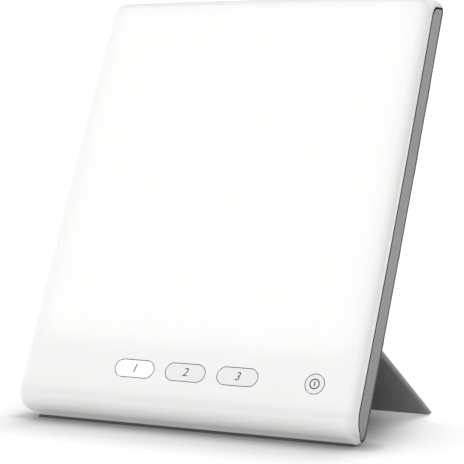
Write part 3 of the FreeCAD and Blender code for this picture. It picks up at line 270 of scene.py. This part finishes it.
# painted contact shadow: the floor's colour is darker in a band right at the foot
painted_contact_shadow = product(floor_tree, ramp(floor_tree, back, *CONTACT_SHADOW_FRONT),
                  ramp(floor_tree, back, *CONTACT_SHADOW_BACK), ramp(floor_tree, aside, *CONTACT_SHADOW_WIDTH))
feed(floor_tree, floor_shader.inputs["Base Color"],
     math_node(floor_tree, "MULTIPLY_ADD", painted_contact_shadow, CONTACT_SHADOW_TONE - FLOOR_TONE, FLOOR_TONE))
print("Floor tone", FLOOR_TONE, "and glow", FLOOR_GLOW)

# %% [markdown]
# ## The light
#
# The world's strength in a direction is the even fill plus what each soft box adds there: the
# cosine of the angle to the box's middle, raised to a power: the higher, the smaller the box.
# The camera itself sees plain white behind the lamp.

# %% World
FILL = 0.34
SOFT_BOXES = (                   # turn from the front to the right, height, strength
    (0, 90, 0.27),
    (120, 48, 0.37),
    (180, 48, 0.77),
    (240, 48, 0.53),
    (240, 8, 0.29),
    (180, 8, 0.21),
)
BOX_SHARPNESS = 3
BACKDROP = 1.1                   # a little over full white

world = bpy.data.worlds.new("white studio")
scene.world = world
world.use_nodes = True
sky = world.node_tree
way = sky.nodes.new("ShaderNodeTexCoord").outputs["Generated"]
strength = FILL
for turn_degrees, height_degrees, power in SOFT_BOXES:
    turn, height = math.radians(turn_degrees), math.radians(height_degrees)
    direction = (math.cos(height) * math.sin(turn), -math.cos(height) * math.cos(turn), math.sin(height))
    cosine = math_node(sky, "MAXIMUM", along(sky, way, direction), 0.0)
    lobe = math_node(sky, "POWER", cosine, BOX_SHARPNESS)
    strength = math_node(sky, "MULTIPLY_ADD", lobe, power, strength)
light = sky.nodes["Background"]
plain = sky.nodes.new("ShaderNodeBackground")
for background, value in ((light, strength), (plain, BACKDROP)):
    background.inputs["Color"].default_value = (1, 1, 1, 1)
    feed(sky, background.inputs["Strength"], value)
seen = sky.nodes.new("ShaderNodeLightPath")
choose = sky.nodes.new("ShaderNodeMixShader")
sky.links.new(seen.outputs["Is Camera Ray"], choose.inputs["Fac"])
sky.links.new(light.outputs["Background"], choose.inputs[1])
sky.links.new(plain.outputs["Background"], choose.inputs[2])
sky.links.new(choose.outputs["Shader"], sky.nodes["World Output"].inputs["Surface"])
print("Fill", FILL, "and", len(SOFT_BOXES), "soft boxes")

# %% [markdown]
# ## Shared effects: grain, drift and brushing
#
# Moulded plastic is never perfectly even. A grain group gives the fine relief of a spark-
# eroded mould as a height for a Bump node. A drift group mixes two close tones over a few
# centimetres, and puts out the same slow pattern as a mask for roughness. A brushing group
# gives long fine scratches for metal. Each is built once and placed in each material with that
# material's own values.


# %% The fine grain group
def new_cloud(tree, place, scale, detail):
    """A soft noise. Its scale is a number or the socket that feeds it."""
    node = tree.nodes.new("ShaderNodeTexNoise")
    tree.links.new(place, node.inputs["Vector"])
    feed(tree, node.inputs["Scale"], scale)
    node.inputs["Detail"].default_value = detail
    return node.outputs[0]


CLOUD_SHARE = 0.6                # how much of the cloud is added to the cells


def make_fine_grain():
    """Height of a fine moulded texture, from Object coordinates."""
    group, enter, leave = new_group("fine grain", [("Cells per Metre", FLOAT)], [("Height", FLOAT)])
    place = object_place(group)
    scale = enter.outputs["Cells per Metre"]
    cells = group.nodes.new("ShaderNodeTexVoronoi")
    cells.feature = "SMOOTH_F1"
    group.links.new(place, cells.inputs["Vector"])
    group.links.new(scale, cells.inputs["Scale"])
    cloud = new_cloud(group, place, scale, detail=4)
    height = math_node(group, "MULTIPLY_ADD", cloud, CLOUD_SHARE, cells.outputs["Distance"])
    group.links.new(height, leave.inputs["Height"])
    return group


# %% The tone drift group
DRIFT_CONTRAST = 2.0             # how far the cloud is stretched about its middle


def make_tone_drift():
    """A slow change between two close tones, from Object coordinates."""
    group, enter, leave = new_group(
        "tone drift", [("Tone", COLOUR), ("Other Tone", COLOUR), ("Patches per Metre", FLOAT)],
        [("Colour", COLOUR), ("Mask", FLOAT)])
    cloud = new_cloud(group, object_place(group), enter.outputs["Patches per Metre"], detail=3)
    mask = math_node(group, "MULTIPLY_ADD", cloud, DRIFT_CONTRAST, (1 - DRIFT_CONTRAST) / 2, clamp=True)
    colour = mix_colours(group, mask, enter.outputs["Tone"], enter.outputs["Other Tone"])
    group.links.new(colour, leave.inputs["Colour"])
    group.links.new(mask, leave.inputs["Mask"])
    return group


# %% The brushing group
def make_brushing():
    """Height of fine scratches along one direction; Stretch is how fine they are on each axis."""
    group, enter, leave = new_group("brushing", [("Stretch", VECTOR)], [("Height", FLOAT)])
    squeeze = group.nodes.new("ShaderNodeMapping")
    group.links.new(object_place(group), squeeze.inputs["Vector"])
    group.links.new(enter.outputs["Stretch"], squeeze.inputs["Scale"])
    scratches = new_cloud(group, squeeze.outputs["Vector"], 1, detail=5)
    group.links.new(scratches, leave.inputs["Height"])
    return group


fine_grain = make_fine_grain()
tone_drift = make_tone_drift()
brushing = make_brushing()
print("Shared groups:", fine_grain.name, tone_drift.name, brushing.name)

# %% [markdown]
# ## A plain finish, ready for more
#
# Every material here starts the same way: a Principled shader whose colour drifts a little,
# whose roughness follows the same drift, and whose surface carries a fine grain. Each real
# finish then sets its own numbers, and some add what only they have.

# %% The common start of every finish
RELIEF_DEPTH = 0.0002            # how deep the grain is where a finish asks for a relief of 1


def new_finish(name, tone, other_tone, roughness, drift=12, cells=2500, relief=0.02,
               metallic=0.0, coat=0.0, specular=0.5, scratches=None):
    """A Principled material with drift and grain. Roughness is its lowest and highest value."""
    material = bpy.data.materials.new(name)
    material.use_nodes = True
    tree = material.node_tree
    shader = tree.nodes["Principled BSDF"]
    shader.inputs["Metallic"].default_value = metallic
    shader.inputs["Coat Weight"].default_value = coat
    shader.inputs["Coat Roughness"].default_value = 0.05
    shader.inputs["Specular IOR Level"].default_value = specular
    tones = add_group(tree, tone_drift, {"Tone": (*tone, 1), "Other Tone": (*other_tone, 1),
                                         "Patches per Metre": drift})
    tones.name = "tones"
    tree.links.new(tones.outputs["Colour"], shader.inputs["Base Color"])
    spread = math_node(tree, "MULTIPLY_ADD", tones.outputs["Mask"],
                       roughness[1] - roughness[0], roughness[0])
    tree.links.new(spread, shader.inputs["Roughness"])
    if scratches:
        texture = add_group(tree, brushing, {"Stretch": scratches})
    else:
        texture = add_group(tree, fine_grain, {"Cells per Metre": cells})
    bump = tree.nodes.new("ShaderNodeBump")
    bump.inputs["Strength"].default_value = relief
    bump.inputs["Distance"].default_value = RELIEF_DEPTH
    tree.links.new(texture.outputs["Height"], bump.inputs["Height"])
    tree.links.new(bump.outputs["Normal"], shader.inputs["Normal"])
    return material


def wear(material, *names):
    """Give a material to CAD nodes."""
    for name in names:
        slots = nodes[name].data.materials
        slots.clear()
        slots.append(material)


# %% What a finish can add
def overlay(material, colour, mask):
    """Lay another colour over whatever a finish has so far, where a mask is 1."""
    tree = material.node_tree
    base = tree.nodes["Principled BSDF"].inputs["Base Color"]
    tree.links.new(mix_colours(tree, mask, base.links[0].from_socket, (*colour, 1)), base)


def dull(material, mask):
    """Take the shine away where a mask is 1."""
    tree = material.node_tree
    rough, coat = (tree.nodes["Principled BSDF"].inputs[label] for label in ("Roughness", "Coat Weight"))
    before = rough.links[0].from_socket
    missing = math_node(tree, "SUBTRACT", 1.0, before)
    tree.links.new(math_node(tree, "MULTIPLY_ADD", missing, mask, before), rough)
    if coat.default_value > 0:           # a linked input still keeps its own value
        kept = coat.links[0].from_socket if coat.links else coat.default_value
        tree.links.new(product(tree, math_node(tree, "SUBTRACT", 1.0, mask), kept), coat)


# %% [markdown]
# ## Masks in the panel's own frame
#
# Some finishes change at a depth or a height of the leaning panel. A small group turns Object
# coordinates back into the panel's frame with a Mapping node, so that x runs across, y into
# the panel and z up its front.

# %% The panel place group
def make_panel_place():
    """Object coordinates turned into the panel's own frame."""
    group, _, leave = new_group("panel place", [], [("X", FLOAT), ("Depth", FLOAT), ("Height", FLOAT)])
    turn = group.nodes.new("ShaderNodeMapping")
    turn.vector_type = "TEXTURE"
    turn.inputs["Location"].default_value = PANEL.translation
    turn.inputs["Rotation"].default_value = (-LEAN, 0, 0)
    group.links.new(object_place(group), turn.inputs["Vector"])
    parts = group.nodes.new("ShaderNodeSeparateXYZ")
    group.links.new(turn.outputs["Vector"], parts.inputs["Vector"])
    for axis, label in zip("XYZ", ("X", "Depth", "Height")):
        group.links.new(parts.outputs[axis], leave.inputs[label])
    return group


panel_place = make_panel_place()
print("Shared group:", panel_place.name)

# %% [markdown]
# ## The seam
#
# The white shell meets the grey housing along one line. It runs up the side at one depth,
# turns back under the bottom, and turns back over the top like the edge of a lid. The gap is
# too narrow to look dark by itself, so a dark line is laid over both finishes along it. The
# group measures how far a point lies behind the line. Each turn is an arc about its own centre.

# %% The seam distance group
PARTING_DEPTH = 0.0112           # the depth of the line up the side
SILL_ARC = (0.0290, 0.0198, 0.0178)   # depth and height of the centre, and radius
LID_ARC = (0.0252, 0.32175, 0.0140)
LID_START = 0.3252               # the height where the lid's line would meet the front
LID_SLOPE = math.radians(25.6)


def behind_arc(tree, panel, arc):
    """How far inside an arc a point of the panel lies."""
    depth, height, radius = arc
    reach = diagonal(tree, math_node(tree, "SUBTRACT", panel["Depth"], depth),
                     math_node(tree, "SUBTRACT", panel["Height"], height))
    return math_node(tree, "SUBTRACT", radius, reach)


def switch(tree, choice, off, on):
    """One value where choice is 0 and another where it is 1."""
    return math_node(tree, "MULTIPLY_ADD", math_node(tree, "SUBTRACT", on, off), choice, off)


def make_seam_distance():
    """How far a point lies behind the line where the shell meets the housing."""
    group, _, leave = new_group("seam distance", [], [("Distance", FLOAT)])
    panel = add_group(group, panel_place).outputs
    # up the side, and behind the lid's sloped line
    behind_side = math_node(group, "SUBTRACT", panel["Depth"], PARTING_DEPTH)
    drop = math_node(group, "SUBTRACT", LID_START, panel["Height"])
    rise = math_node(group, "MULTIPLY", panel["Depth"], math.sin(LID_SLOPE))
    under_lid = math_node(group, "MULTIPLY_ADD", drop, math.cos(LID_SLOPE), rise)
    straight = math_node(group, "MINIMUM", behind_side, under_lid)
    # the lid's turn lies above its centre, and in front of the line square to the slope
    before = math_node(group, "SUBTRACT", LID_ARC[0], panel["Depth"])
    above = math_node(group, "SUBTRACT", panel["Height"], LID_ARC[1])
    turned = math_node(group, "MULTIPLY_ADD", above, -math.tan(LID_SLOPE), before)
    in_lid_turn = product(group, math_node(group, "GREATER_THAN", above, 0.0),
                          math_node(group, "GREATER_THAN", turned, 0.0))
    in_sill_turn = math_node(group, "LESS_THAN", panel["Height"], SILL_ARC[1])
    distance = switch(group, in_lid_turn, straight, behind_arc(group, panel, LID_ARC))
    distance = switch(group, in_sill_turn, distance, behind_arc(group, panel, SILL_ARC))
    group.links.new(distance, leave.inputs["Distance"])
    return group


seam_distance = make_seam_distance()
print("Shared group:", seam_distance.name)

# %% The seam's shadow
LIP_SHADOW = 0.0007              # how far the dark line comes forward of the seam
HOUSING_SHADOW = 0.0011          # how far it goes back on the housing
SHELL_SHADOW = 1.0               # on the shell it has no end: the gap hides all that lies behind
SHADOW_LOW = 0.006               # the gap closes near the bottom edge
SHADOW_BLACK = (0.02, 0.02, 0.02)


def shade_seam(material, end):
    """Darken a finish from the lip to a distance behind the seam: no light reaches into the gap."""
    tree = material.node_tree
    distance = add_group(tree, seam_distance).outputs["Distance"]
    height = add_group(tree, panel_place).outputs["Height"]
    mask = product(tree, math_node(tree, "GREATER_THAN", distance, -LIP_SHADOW),
                   math_node(tree, "LESS_THAN", distance, end),
                   math_node(tree, "GREATER_THAN", height, SHADOW_LOW))
    overlay(material, SHADOW_BLACK, mask)
    dull(material, mask)


# %% [markdown]
# ## The white shell and its window of light
#
# The front is one glossy white moulding. Light reaches it from the sheet behind, so a soft
# rounded rectangle in its middle glows most. Light also travels sideways inside the white
# plastic and lifts the whole front, a little less towards the bottom. Separate pieces could
# stand for both, but the real front has no seam, so one group works out the glow from the
# place in the panel's frame. It dies away as the surface turns from the front, and the
# underside only catches what the floor sends back.

# %% The window and the wall
WINDOW_GLOW = 0.070              # what the lit window adds to the wall
WINDOW_HALF_WIDTH = 0.137
WINDOW_LOW, WINDOW_HIGH = 0.042, 0.342
WINDOW_CORNER = 0.030
WINDOW_FADE = 0.024
WALL_GLOW = 0.352                # the light inside the wall
FOOT_GLOW = 0.305                # and near the bottom edge
FOOT_FADE = (0.012, 0.020)       # the heights between which one becomes the other


def window_light(tree, panel):
    """The glow of the lit window, a rounded rectangle with a soft edge."""
    up = math_node(tree, "SUBTRACT", panel["Height"], (WINDOW_LOW + WINDOW_HIGH) / 2)
    sides = []
    for value, half in ((panel["X"], WINDOW_HALF_WIDTH), (up, (WINDOW_HIGH - WINDOW_LOW) / 2)):
        size = math_node(tree, "ABSOLUTE", value)
        past = math_node(tree, "SUBTRACT", size, half - WINDOW_CORNER)
        sides.append(math_node(tree, "MAXIMUM", past, 0.0))
    return ramp(tree, diagonal(tree, *sides), WINDOW_CORNER, WINDOW_CORNER - WINDOW_FADE,
                0.0, WINDOW_GLOW)


# %% How the glow ends
FACING_POWER = 1.5               # how fast the glow dies away as the surface turns aside
TOP_LOSS = 1.2                   # and how much faster where it turns up
GLOW_DEPTH = 0.0145              # how deep into the panel it reaches
UNDERSIDE_GLOW = 0.25            # the floor's light on the underside
UNDERSIDE_POWER = 4              # how fast it dies away as the surface turns from the floor
UNDERSIDE_FADE = (0.006, 0.026)  # the depths between which it comes up


def forward_share(tree, panel):
    """The factors that keep the glow on the front: turned forward, not turned up, not deep."""
    forward = math_node(tree, "MAXIMUM", facing(tree, -INWARD), 0.0)
    upward = math_node(tree, "MAXIMUM", facing(tree, UPWARD), 0.0)
    kept = math_node(tree, "ADD", math_node(tree, "MULTIPLY", upward, -TOP_LOSS), 1.0)
    return (math_node(tree, "POWER", forward, FACING_POWER),
            math_node(tree, "MAXIMUM", kept, 0.0),
            math_node(tree, "LESS_THAN", panel["Depth"], GLOW_DEPTH))


def underside_light(tree, panel):
    """The floor's light on the underside, more of it towards the back."""
    downward = math_node(tree, "MAXIMUM", math_node(tree, "MULTIPLY", facing(tree, UPWARD), -1.0), 0.0)
    return product(tree, math_node(tree, "POWER", downward, UNDERSIDE_POWER),
                   math_node(tree, "LESS_THAN", panel["Height"], FOOT_FADE[0]),
                   ramp(tree, panel["Depth"], *UNDERSIDE_FADE, 0.0, UNDERSIDE_GLOW))


# %% The shell glow group
def make_shell_glow():
    """How strongly the white plastic glows, with an extra for a button that is lit."""
    group, enter, leave = new_group("shell glow", [("Extra", FLOAT)], [("Glow", FLOAT)])
    panel = add_group(group, panel_place).outputs
    wall = ramp(group, panel["Height"], *FOOT_FADE, FOOT_GLOW, WALL_GLOW)
    total = math_node(group, "ADD", window_light(group, panel), wall)
    total = math_node(group, "ADD", total, enter.outputs["Extra"])
    total = product(group, total, *forward_share(group, panel))
    total = math_node(group, "ADD", underside_light(group, panel), total)
    group.links.new(total, leave.inputs["Glow"])
    return group


shell_glow = make_shell_glow()
print("Window glow", WINDOW_GLOW, "in a wall that glows", WALL_GLOW)

# %% The gaps round the buttons
GAP_SHADE_BLACK = (0.02, 0.02, 0.02)     # painted shade: the walls of the gaps round the buttons are painted nearly black
GAP_FACING = (0.6, 0.3)          # how much a wall faces the front: still white, and fully painted
GAP_DEPTH = 0.003
BUTTONS_HALF_WIDTH = 0.120       # the buttons all lie within this width and these heights
BUTTONS_LOW, BUTTONS_HIGH = 0.020, 0.046


def darken_gaps(material):
    """Paint the walls of the gaps round the buttons, which face sideways, nearly black: painted shade in
    the gaps.
    """
    tree = material.node_tree
    panel = add_group(tree, panel_place).outputs
    aside = math_node(tree, "ABSOLUTE", panel["X"])
    mask = product(tree, ramp(tree, facing(tree, -INWARD), *GAP_FACING),
                   math_node(tree, "LESS_THAN", panel["Depth"], GAP_DEPTH),
                   math_node(tree, "LESS_THAN", aside, BUTTONS_HALF_WIDTH),
                   math_node(tree, "GREATER_THAN", panel["Height"], BUTTONS_LOW),
                   math_node(tree, "LESS_THAN", panel["Height"], BUTTONS_HIGH))
    overlay(material, GAP_SHADE_BLACK, mask)
    dull(material, mask)


# %% The top of the lid
LID_SHADE = (0.44, 0.443, 0.435)     # no light comes from behind here
LID_FACING = (0.25, 0.75)        # how much a surface faces up: still white, and shaded
LID_LEAST = 0.6                  # the share of the shade that all of the top has
LID_BACK = (0.002, 0.026)        # the depths over which the rest comes in
LID_LOW = (0.318, 0.328)         # the heights where the lid starts


def shade_lid(material):
    """Let the white go slightly grey over the top, towards the back."""
    tree = material.node_tree
    panel = add_group(tree, panel_place).outputs
    top = ramp(tree, facing(tree, UPWARD), *LID_FACING, 0.0, LID_LEAST)
    deep = ramp(tree, panel["Depth"], *LID_BACK)
    mask = product(tree, math_node(tree, "MAXIMUM", top, deep), ramp(tree, panel["Height"], *LID_LOW))
    overlay(material, LID_SHADE, mask)


# %% The glossy white shell and its buttons
WHITE = (0.80, 0.806, 0.79)
WHITE_SHADE = (0.79, 0.796, 0.78)
DARK_BUTTON_GLOW = -0.045        # next to the shell's own glow
LIT_BUTTON_GLOW = 0.11


def new_glowing_white(name, extra):
    """The shell's glossy white with its glow, and more or less of it for a button."""
    material = new_finish(name, WHITE, WHITE_SHADE, (0.12, 0.2), drift=9, cells=900,
                          relief=0.01, coat=0.3)
    tree = material.node_tree
    shader = tree.nodes["Principled BSDF"]
    glow = add_group(tree, shell_glow, {"Extra": extra})
    tree.links.new(glow.outputs["Glow"], shader.inputs["Emission Color"])
    shader.inputs["Emission Strength"].default_value = 1.0
    darken_gaps(material)
    return material


shell_white = new_glowing_white("glossy white shell", 0.0)
shade_lid(shell_white)
shade_seam(shell_white, SHELL_SHADOW)
button_white = new_glowing_white("white button", DARK_BUTTON_GLOW)
button_lit = new_glowing_white("lit white button", LIT_BUTTON_GLOW)
wear(shell_white, "front_shell")
wear(button_white, "button_mode_2", "button_mode_3", "button_power")
wear(button_lit, "button_mode_1")
print("White finishes:", shell_white.name, "/", button_white.name, "/", button_lit.name)

# %% [markdown]
# ## The housing, the stand and the feet
#
# The rear housing is a satin grey moulding. Its back, with its rounded edge, is painted a
# darker grey with no shine: painted shade where the edge turns away from the light. The real
# one is one moulding, so that painted shade is a mask on the depth in the panel's frame. The
# stand has two layers: a frame in the lighter grey inside and a dark cover outside. The feet
# are rubber, and the plate on the back is bare metal.

# %% Greys
SIDE_TONE = (0.30, 0.305, 0.31)
SIDE_TONE_SHADE = (0.285, 0.29, 0.295)
COVER_TONE = (0.160, 0.162, 0.165)
COVER_TONE_SHADE = (0.148, 0.150, 0.153)
BACK_SHADE_TONE = (0.10, 0.101, 0.104)
RIM = 0.0045                     # how far the painted shade on the back comes round the edge
RIM_BLUR = 0.0003                # and how soft its edge is
BACK_DEPTH = max((TO_PANEL @ v.co).y for v in nodes["rear_housing"].data.vertices)


def new_satin_grey(name, tone, other_tone):
    """Moulded plastic with an eroded texture, which leaves it nearly no shine."""
    return new_finish(name, tone, other_tone, (0.45, 0.55), cells=1600, relief=0.25, specular=0.15)


def darken_back(material):
    """Paint the housing a darker grey with no shine from its rounded edge back: painted shade where the
    edge turns away from the light.
    """
    tree = material.node_tree
    depth = add_group(tree, panel_place).outputs["Depth"]
    # painted shade: darker grey and no shine from the rounded edge back
    mask = ramp(tree, depth, BACK_DEPTH - RIM - RIM_BLUR, BACK_DEPTH - RIM)
    overlay(material, BACK_SHADE_TONE, mask)
    dull(material, mask)


housing_grey = new_satin_grey("satin grey housing", SIDE_TONE, SIDE_TONE_SHADE)
darken_back(housing_grey)
shade_seam(housing_grey, HOUSING_SHADOW)
frame_grey = new_satin_grey("stand frame grey", SIDE_TONE, SIDE_TONE_SHADE)
cover_grey = new_satin_grey("stand cover grey", COVER_TONE, COVER_TONE_SHADE)
rubber = new_finish("dark rubber", (0.20, 0.20, 0.205), (0.18, 0.18, 0.184), (0.75, 0.9),
                    cells=1200, relief=0.3, specular=0.3)
plate = new_finish("bare plate", (0.36, 0.365, 0.37), (0.34, 0.345, 0.35), (0.3, 0.36),
                   relief=0.1, scratches=(40, 3000, 3000))
wear(housing_grey, "rear_housing")
wear(frame_grey, "stand_frame")
wear(cover_grey, "stand_cover")
wear(rubber, "foot_strip", "stand_pads")
wear(plate, "blank_plate")
print("Back at a depth of", round(BACK_DEPTH * 1000, 2), "mm")

# %% [markdown]
# ## The pieces inside
#
# Most of these only show through the ventilation slots or in an exploded view. They still
# have the finish of the real part: zinc on the screws, brushed aluminium on the heat spreader,
# white or green lacquer on the boards, with the copper tracks showing through the green as a
# slightly lighter pattern, and plain nylon, rubber or PVC on the rest.

# %% Metals
steel = new_finish("zinc steel", (0.6, 0.6, 0.62), (0.52, 0.52, 0.54), (0.25, 0.4),
                   metallic=1.0, relief=0.08)
aluminium = new_finish("brushed aluminium", (0.78, 0.79, 0.80), (0.72, 0.73, 0.74), (0.28, 0.4),
                       metallic=1.0, relief=0.2, scratches=(30, 4000, 4000))
wear(steel, "housing_screws", "spreader_screws", "control_board_screws", "driver_board_screws",
     "stand_screws", "hinge_rods", "dc_inlet_pin")
wear(aluminium, "heat_spreader")
print("Metals:", steel.name, "and", aluminium.name)

# %% The copper tracks group
TRACK_WIDTH = 0.05               # the tracks are the mortar of a brick pattern, in its own unit


def make_tracks():
    """The pattern of copper tracks under a board's lacquer, as a mask."""
    group, enter, leave = new_group("copper tracks", [("Tracks per Metre", FLOAT)], [("Mask", FLOAT)])
    panel = add_group(group, panel_place).outputs
    flat = group.nodes.new("ShaderNodeCombineXYZ")
    group.links.new(panel["X"], flat.inputs["X"])
    group.links.new(panel["Height"], flat.inputs["Y"])
    lines = group.nodes.new("ShaderNodeTexBrick")
    lines.inputs["Mortar Size"].default_value = TRACK_WIDTH
    group.links.new(flat.outputs["Vector"], lines.inputs["Vector"])
    group.links.new(enter.outputs["Tracks per Metre"], lines.inputs["Scale"])
    group.links.new(lines.outputs["Fac"], leave.inputs["Mask"])
    return group


copper_tracks = make_tracks()
print("Shared group:", copper_tracks.name)

# %% Circuit boards
LED_BARS = range(1, 6)


def new_board(name, lacquer, lacquer_shade, track_tone, tracks):
    """Lacquer over copper tracks."""
    material = new_finish(name, lacquer, lacquer_shade, (0.22, 0.3), cells=3000, coat=0.4)
    pattern = add_group(material.node_tree, copper_tracks, {"Tracks per Metre": tracks})
    overlay(material, track_tone, pattern.outputs["Mask"])
    return material


green_board = new_board("green lacquered board", (0.02, 0.13, 0.05), (0.015, 0.11, 0.045),
                        (0.05, 0.24, 0.08), 300)
white_board = new_board("white lacquered board", (0.82, 0.82, 0.80), (0.78, 0.78, 0.76),
                        (0.70, 0.69, 0.64), 120)
wear(green_board, "control_board", "driver_board")
wear(white_board, *(f"led_bar_{bar}" for bar in LED_BARS))
print("Boards:", green_board.name, "and", white_board.name)

# %% Diodes and the light chamber
diode = new_finish("light diode", (0.85, 0.74, 0.35), (0.80, 0.68, 0.30), (0.35, 0.45),
                   cells=4000, relief=0.1)
diode_shader = diode.node_tree.nodes["Principled BSDF"]
diode_shader.inputs["Emission Color"].default_value = (1.0, 0.96, 0.85, 1)
diode_shader.inputs["Emission Strength"].default_value = 1.5
opal = new_finish("opal sheet", (0.86, 0.86, 0.84), (0.84, 0.84, 0.82), (0.5, 0.6),
                  cells=2000, relief=0.1)
chamber_white = new_finish("matt white chamber", (0.85, 0.85, 0.84), (0.82, 0.82, 0.81),
                           (0.6, 0.75), cells=1500, relief=0.15)
wear(diode, "mode_leds", *(f"leds_{bar}" for bar in LED_BARS))
wear(opal, "diffuser_sheet")
wear(chamber_white, "reflector_frame")
print("Light chamber:", diode.name, "/", opal.name, "/", chamber_white.name)

# %% Small plastic pieces and wires
BUTTONS = ("mode_1", "mode_2", "mode_3", "power")

black_plastic = new_finish("black moulded plastic", (0.02, 0.02, 0.022), (0.028, 0.028, 0.03),
                           (0.35, 0.45), cells=2500, relief=0.12)
red_plastic = new_finish("red plunger plastic", (0.32, 0.04, 0.03), (0.28, 0.035, 0.03),
                         (0.3, 0.4), relief=0.08)
nylon = new_finish("natural nylon", (0.72, 0.69, 0.60), (0.68, 0.65, 0.56), (0.4, 0.5),
                   relief=0.08)
black_wire = new_finish("black wire", (0.015, 0.015, 0.016), (0.025, 0.025, 0.026), (0.4, 0.5),
                        relief=0.1)
red_wire = new_finish("red wire", (0.36, 0.02, 0.015), (0.30, 0.018, 0.014), (0.4, 0.5),
                      relief=0.1)
wear(black_plastic, "board_connector", "dc_inlet", "driver_parts",
     *(f"switch_{button}" for button in BUTTONS))
wear(red_plastic, *(f"plunger_{button}" for button in BUTTONS))
wear(nylon, "friction_washers")
wear(black_wire, "power_wires")
wear(red_wire, "led_wires")
bare = [name for name, node in nodes.items() if not node.data.materials[0].use_nodes
        or "tones" not in node.data.materials[0].node_tree.nodes]
print("CAD nodes without a finish of their own:", bare)

# %% [markdown]
# ## Printed marks on the buttons
#
# The three mode buttons carry a thin slanted number each, and the power button carries the
# usual ring and bar. Print is a film of ink, so each mark is a real, very thin solid that
# lies on its button and travels with it. Numbers are text turned into a mesh. The ring is a
# small rectangle spun right round, and the bar is a cube with its edges bevelled.

# %% Helpers for small solids
def add_piece(name, shape, body, material, place):
    """Finish a bmesh as an object at the origin that rides on a body, with its place in its mesh."""
    bmesh.ops.transform(shape, matrix=place, verts=shape.verts)
    bmesh.ops.recalc_face_normals(shape, faces=shape.faces)
    mesh = bpy.data.meshes.new(name)
    shape.to_mesh(mesh)
    shape.free()
    mesh.materials.append(material)
    piece = bpy.data.objects.new(name, mesh)
    scene.collection.objects.link(piece)
    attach(piece, body)


def face_place(node):
    """The matrix that lays a drawing flat on a button's face, reading upright from the front."""
    across, deep, up = zip(*(TO_PANEL @ v.co for v in nodes[node].data.vertices))
    middle = Vector(((min(across) + max(across)) / 2, min(deep), (min(up) + max(up)) / 2))
    return PANEL @ Matrix.Translation(middle) @ Matrix.Rotation(math.pi / 2, 4, "X")


# %% The ink
INK = 0.00006                    # the film's thickness

number_ink = new_finish("number ink", (0.14, 0.14, 0.145), (0.16, 0.16, 0.165), (0.35, 0.45),
                        cells=4000, relief=0.02)
ink_grey = new_finish("grey ink", (0.05, 0.05, 0.053), (0.06, 0.06, 0.063), (0.35, 0.45),
                      cells=4000, relief=0.02)
print("Ink", round(INK * 1000, 3), "mm thick")

# %% The mode numbers
NUMBER_HEIGHT = 0.0062
DIGIT_SHARE = 0.7                # a digit's height as a share of the letter size
NUMBER_SLANT = 0.25
WELD = 1e-6                      # points nearer than this are one

for mode in (1, 2, 3):
    letter = bpy.data.curves.new(f"number_{mode}", "FONT")
    letter.body = str(mode)
    letter.size = NUMBER_HEIGHT / DIGIT_SHARE
    letter.shear = NUMBER_SLANT
    letter.align_x, letter.align_y = "CENTER", "CENTER"
    letter.extrude = INK / 2
    drawn = bpy.data.objects.new("drawn", letter)
    scene.collection.objects.link(drawn)
    bpy.context.view_layer.update()
    flat = bpy.data.meshes.new_from_object(drawn.evaluated_get(bpy.context.evaluated_depsgraph_get()))
    bpy.data.objects.remove(drawn)
    shape = bmesh.new()
    shape.from_mesh(flat)
    bmesh.ops.remove_doubles(shape, verts=shape.verts, dist=WELD)
    button = f"button_mode_{mode}"
    add_piece(f"number_{mode}", shape, button, number_ink,
              face_place(button) @ Matrix.Translation((0, 0, INK / 2)))
print("Three numbers,", NUMBER_HEIGHT * 1000, "mm high")

# %% The power symbol
RING_RADIUS = 0.0034
STROKE = 0.0008
BAR_LENGTH = 0.0034
BAR_ROUNDING = 0.45              # the bar's corner radius as a share of the stroke
RING_STEPS = 64

ring = bmesh.new()
corners = [ring.verts.new((RING_RADIUS + x, 0, z))
           for x, z in ((-STROKE / 2, 0), (STROKE / 2, 0), (STROKE / 2, INK), (-STROKE / 2, INK))]
outline = [ring.edges.new((corners[i], corners[i - 1])) for i in range(4)]
bmesh.ops.spin(ring, geom=corners + outline, cent=(0, 0, 0), axis=(0, 0, 1),
               angle=math.tau, steps=RING_STEPS, use_merge=True, use_duplicate=False)
add_piece("power_ring", ring, "button_power", ink_grey, face_place("button_power"))

bar = bmesh.new()
bmesh.ops.create_cube(bar, size=1, matrix=Matrix.Translation((0, 0, INK / 2))
                      @ Matrix.Diagonal((STROKE, BAR_LENGTH, INK, 1)))
upright = [e for e in bar.edges if abs(e.verts[0].co.z - e.verts[1].co.z) > INK / 2]
bmesh.ops.bevel(bar, geom=upright, offset=STROKE * BAR_ROUNDING, segments=4, profile=0.5,
                affect="EDGES", material=-1)
add_piece("power_bar", bar, "button_power", ink_grey, face_place("button_power"))
print("Power symbol", RING_RADIUS * 2 * 1000, "mm across")
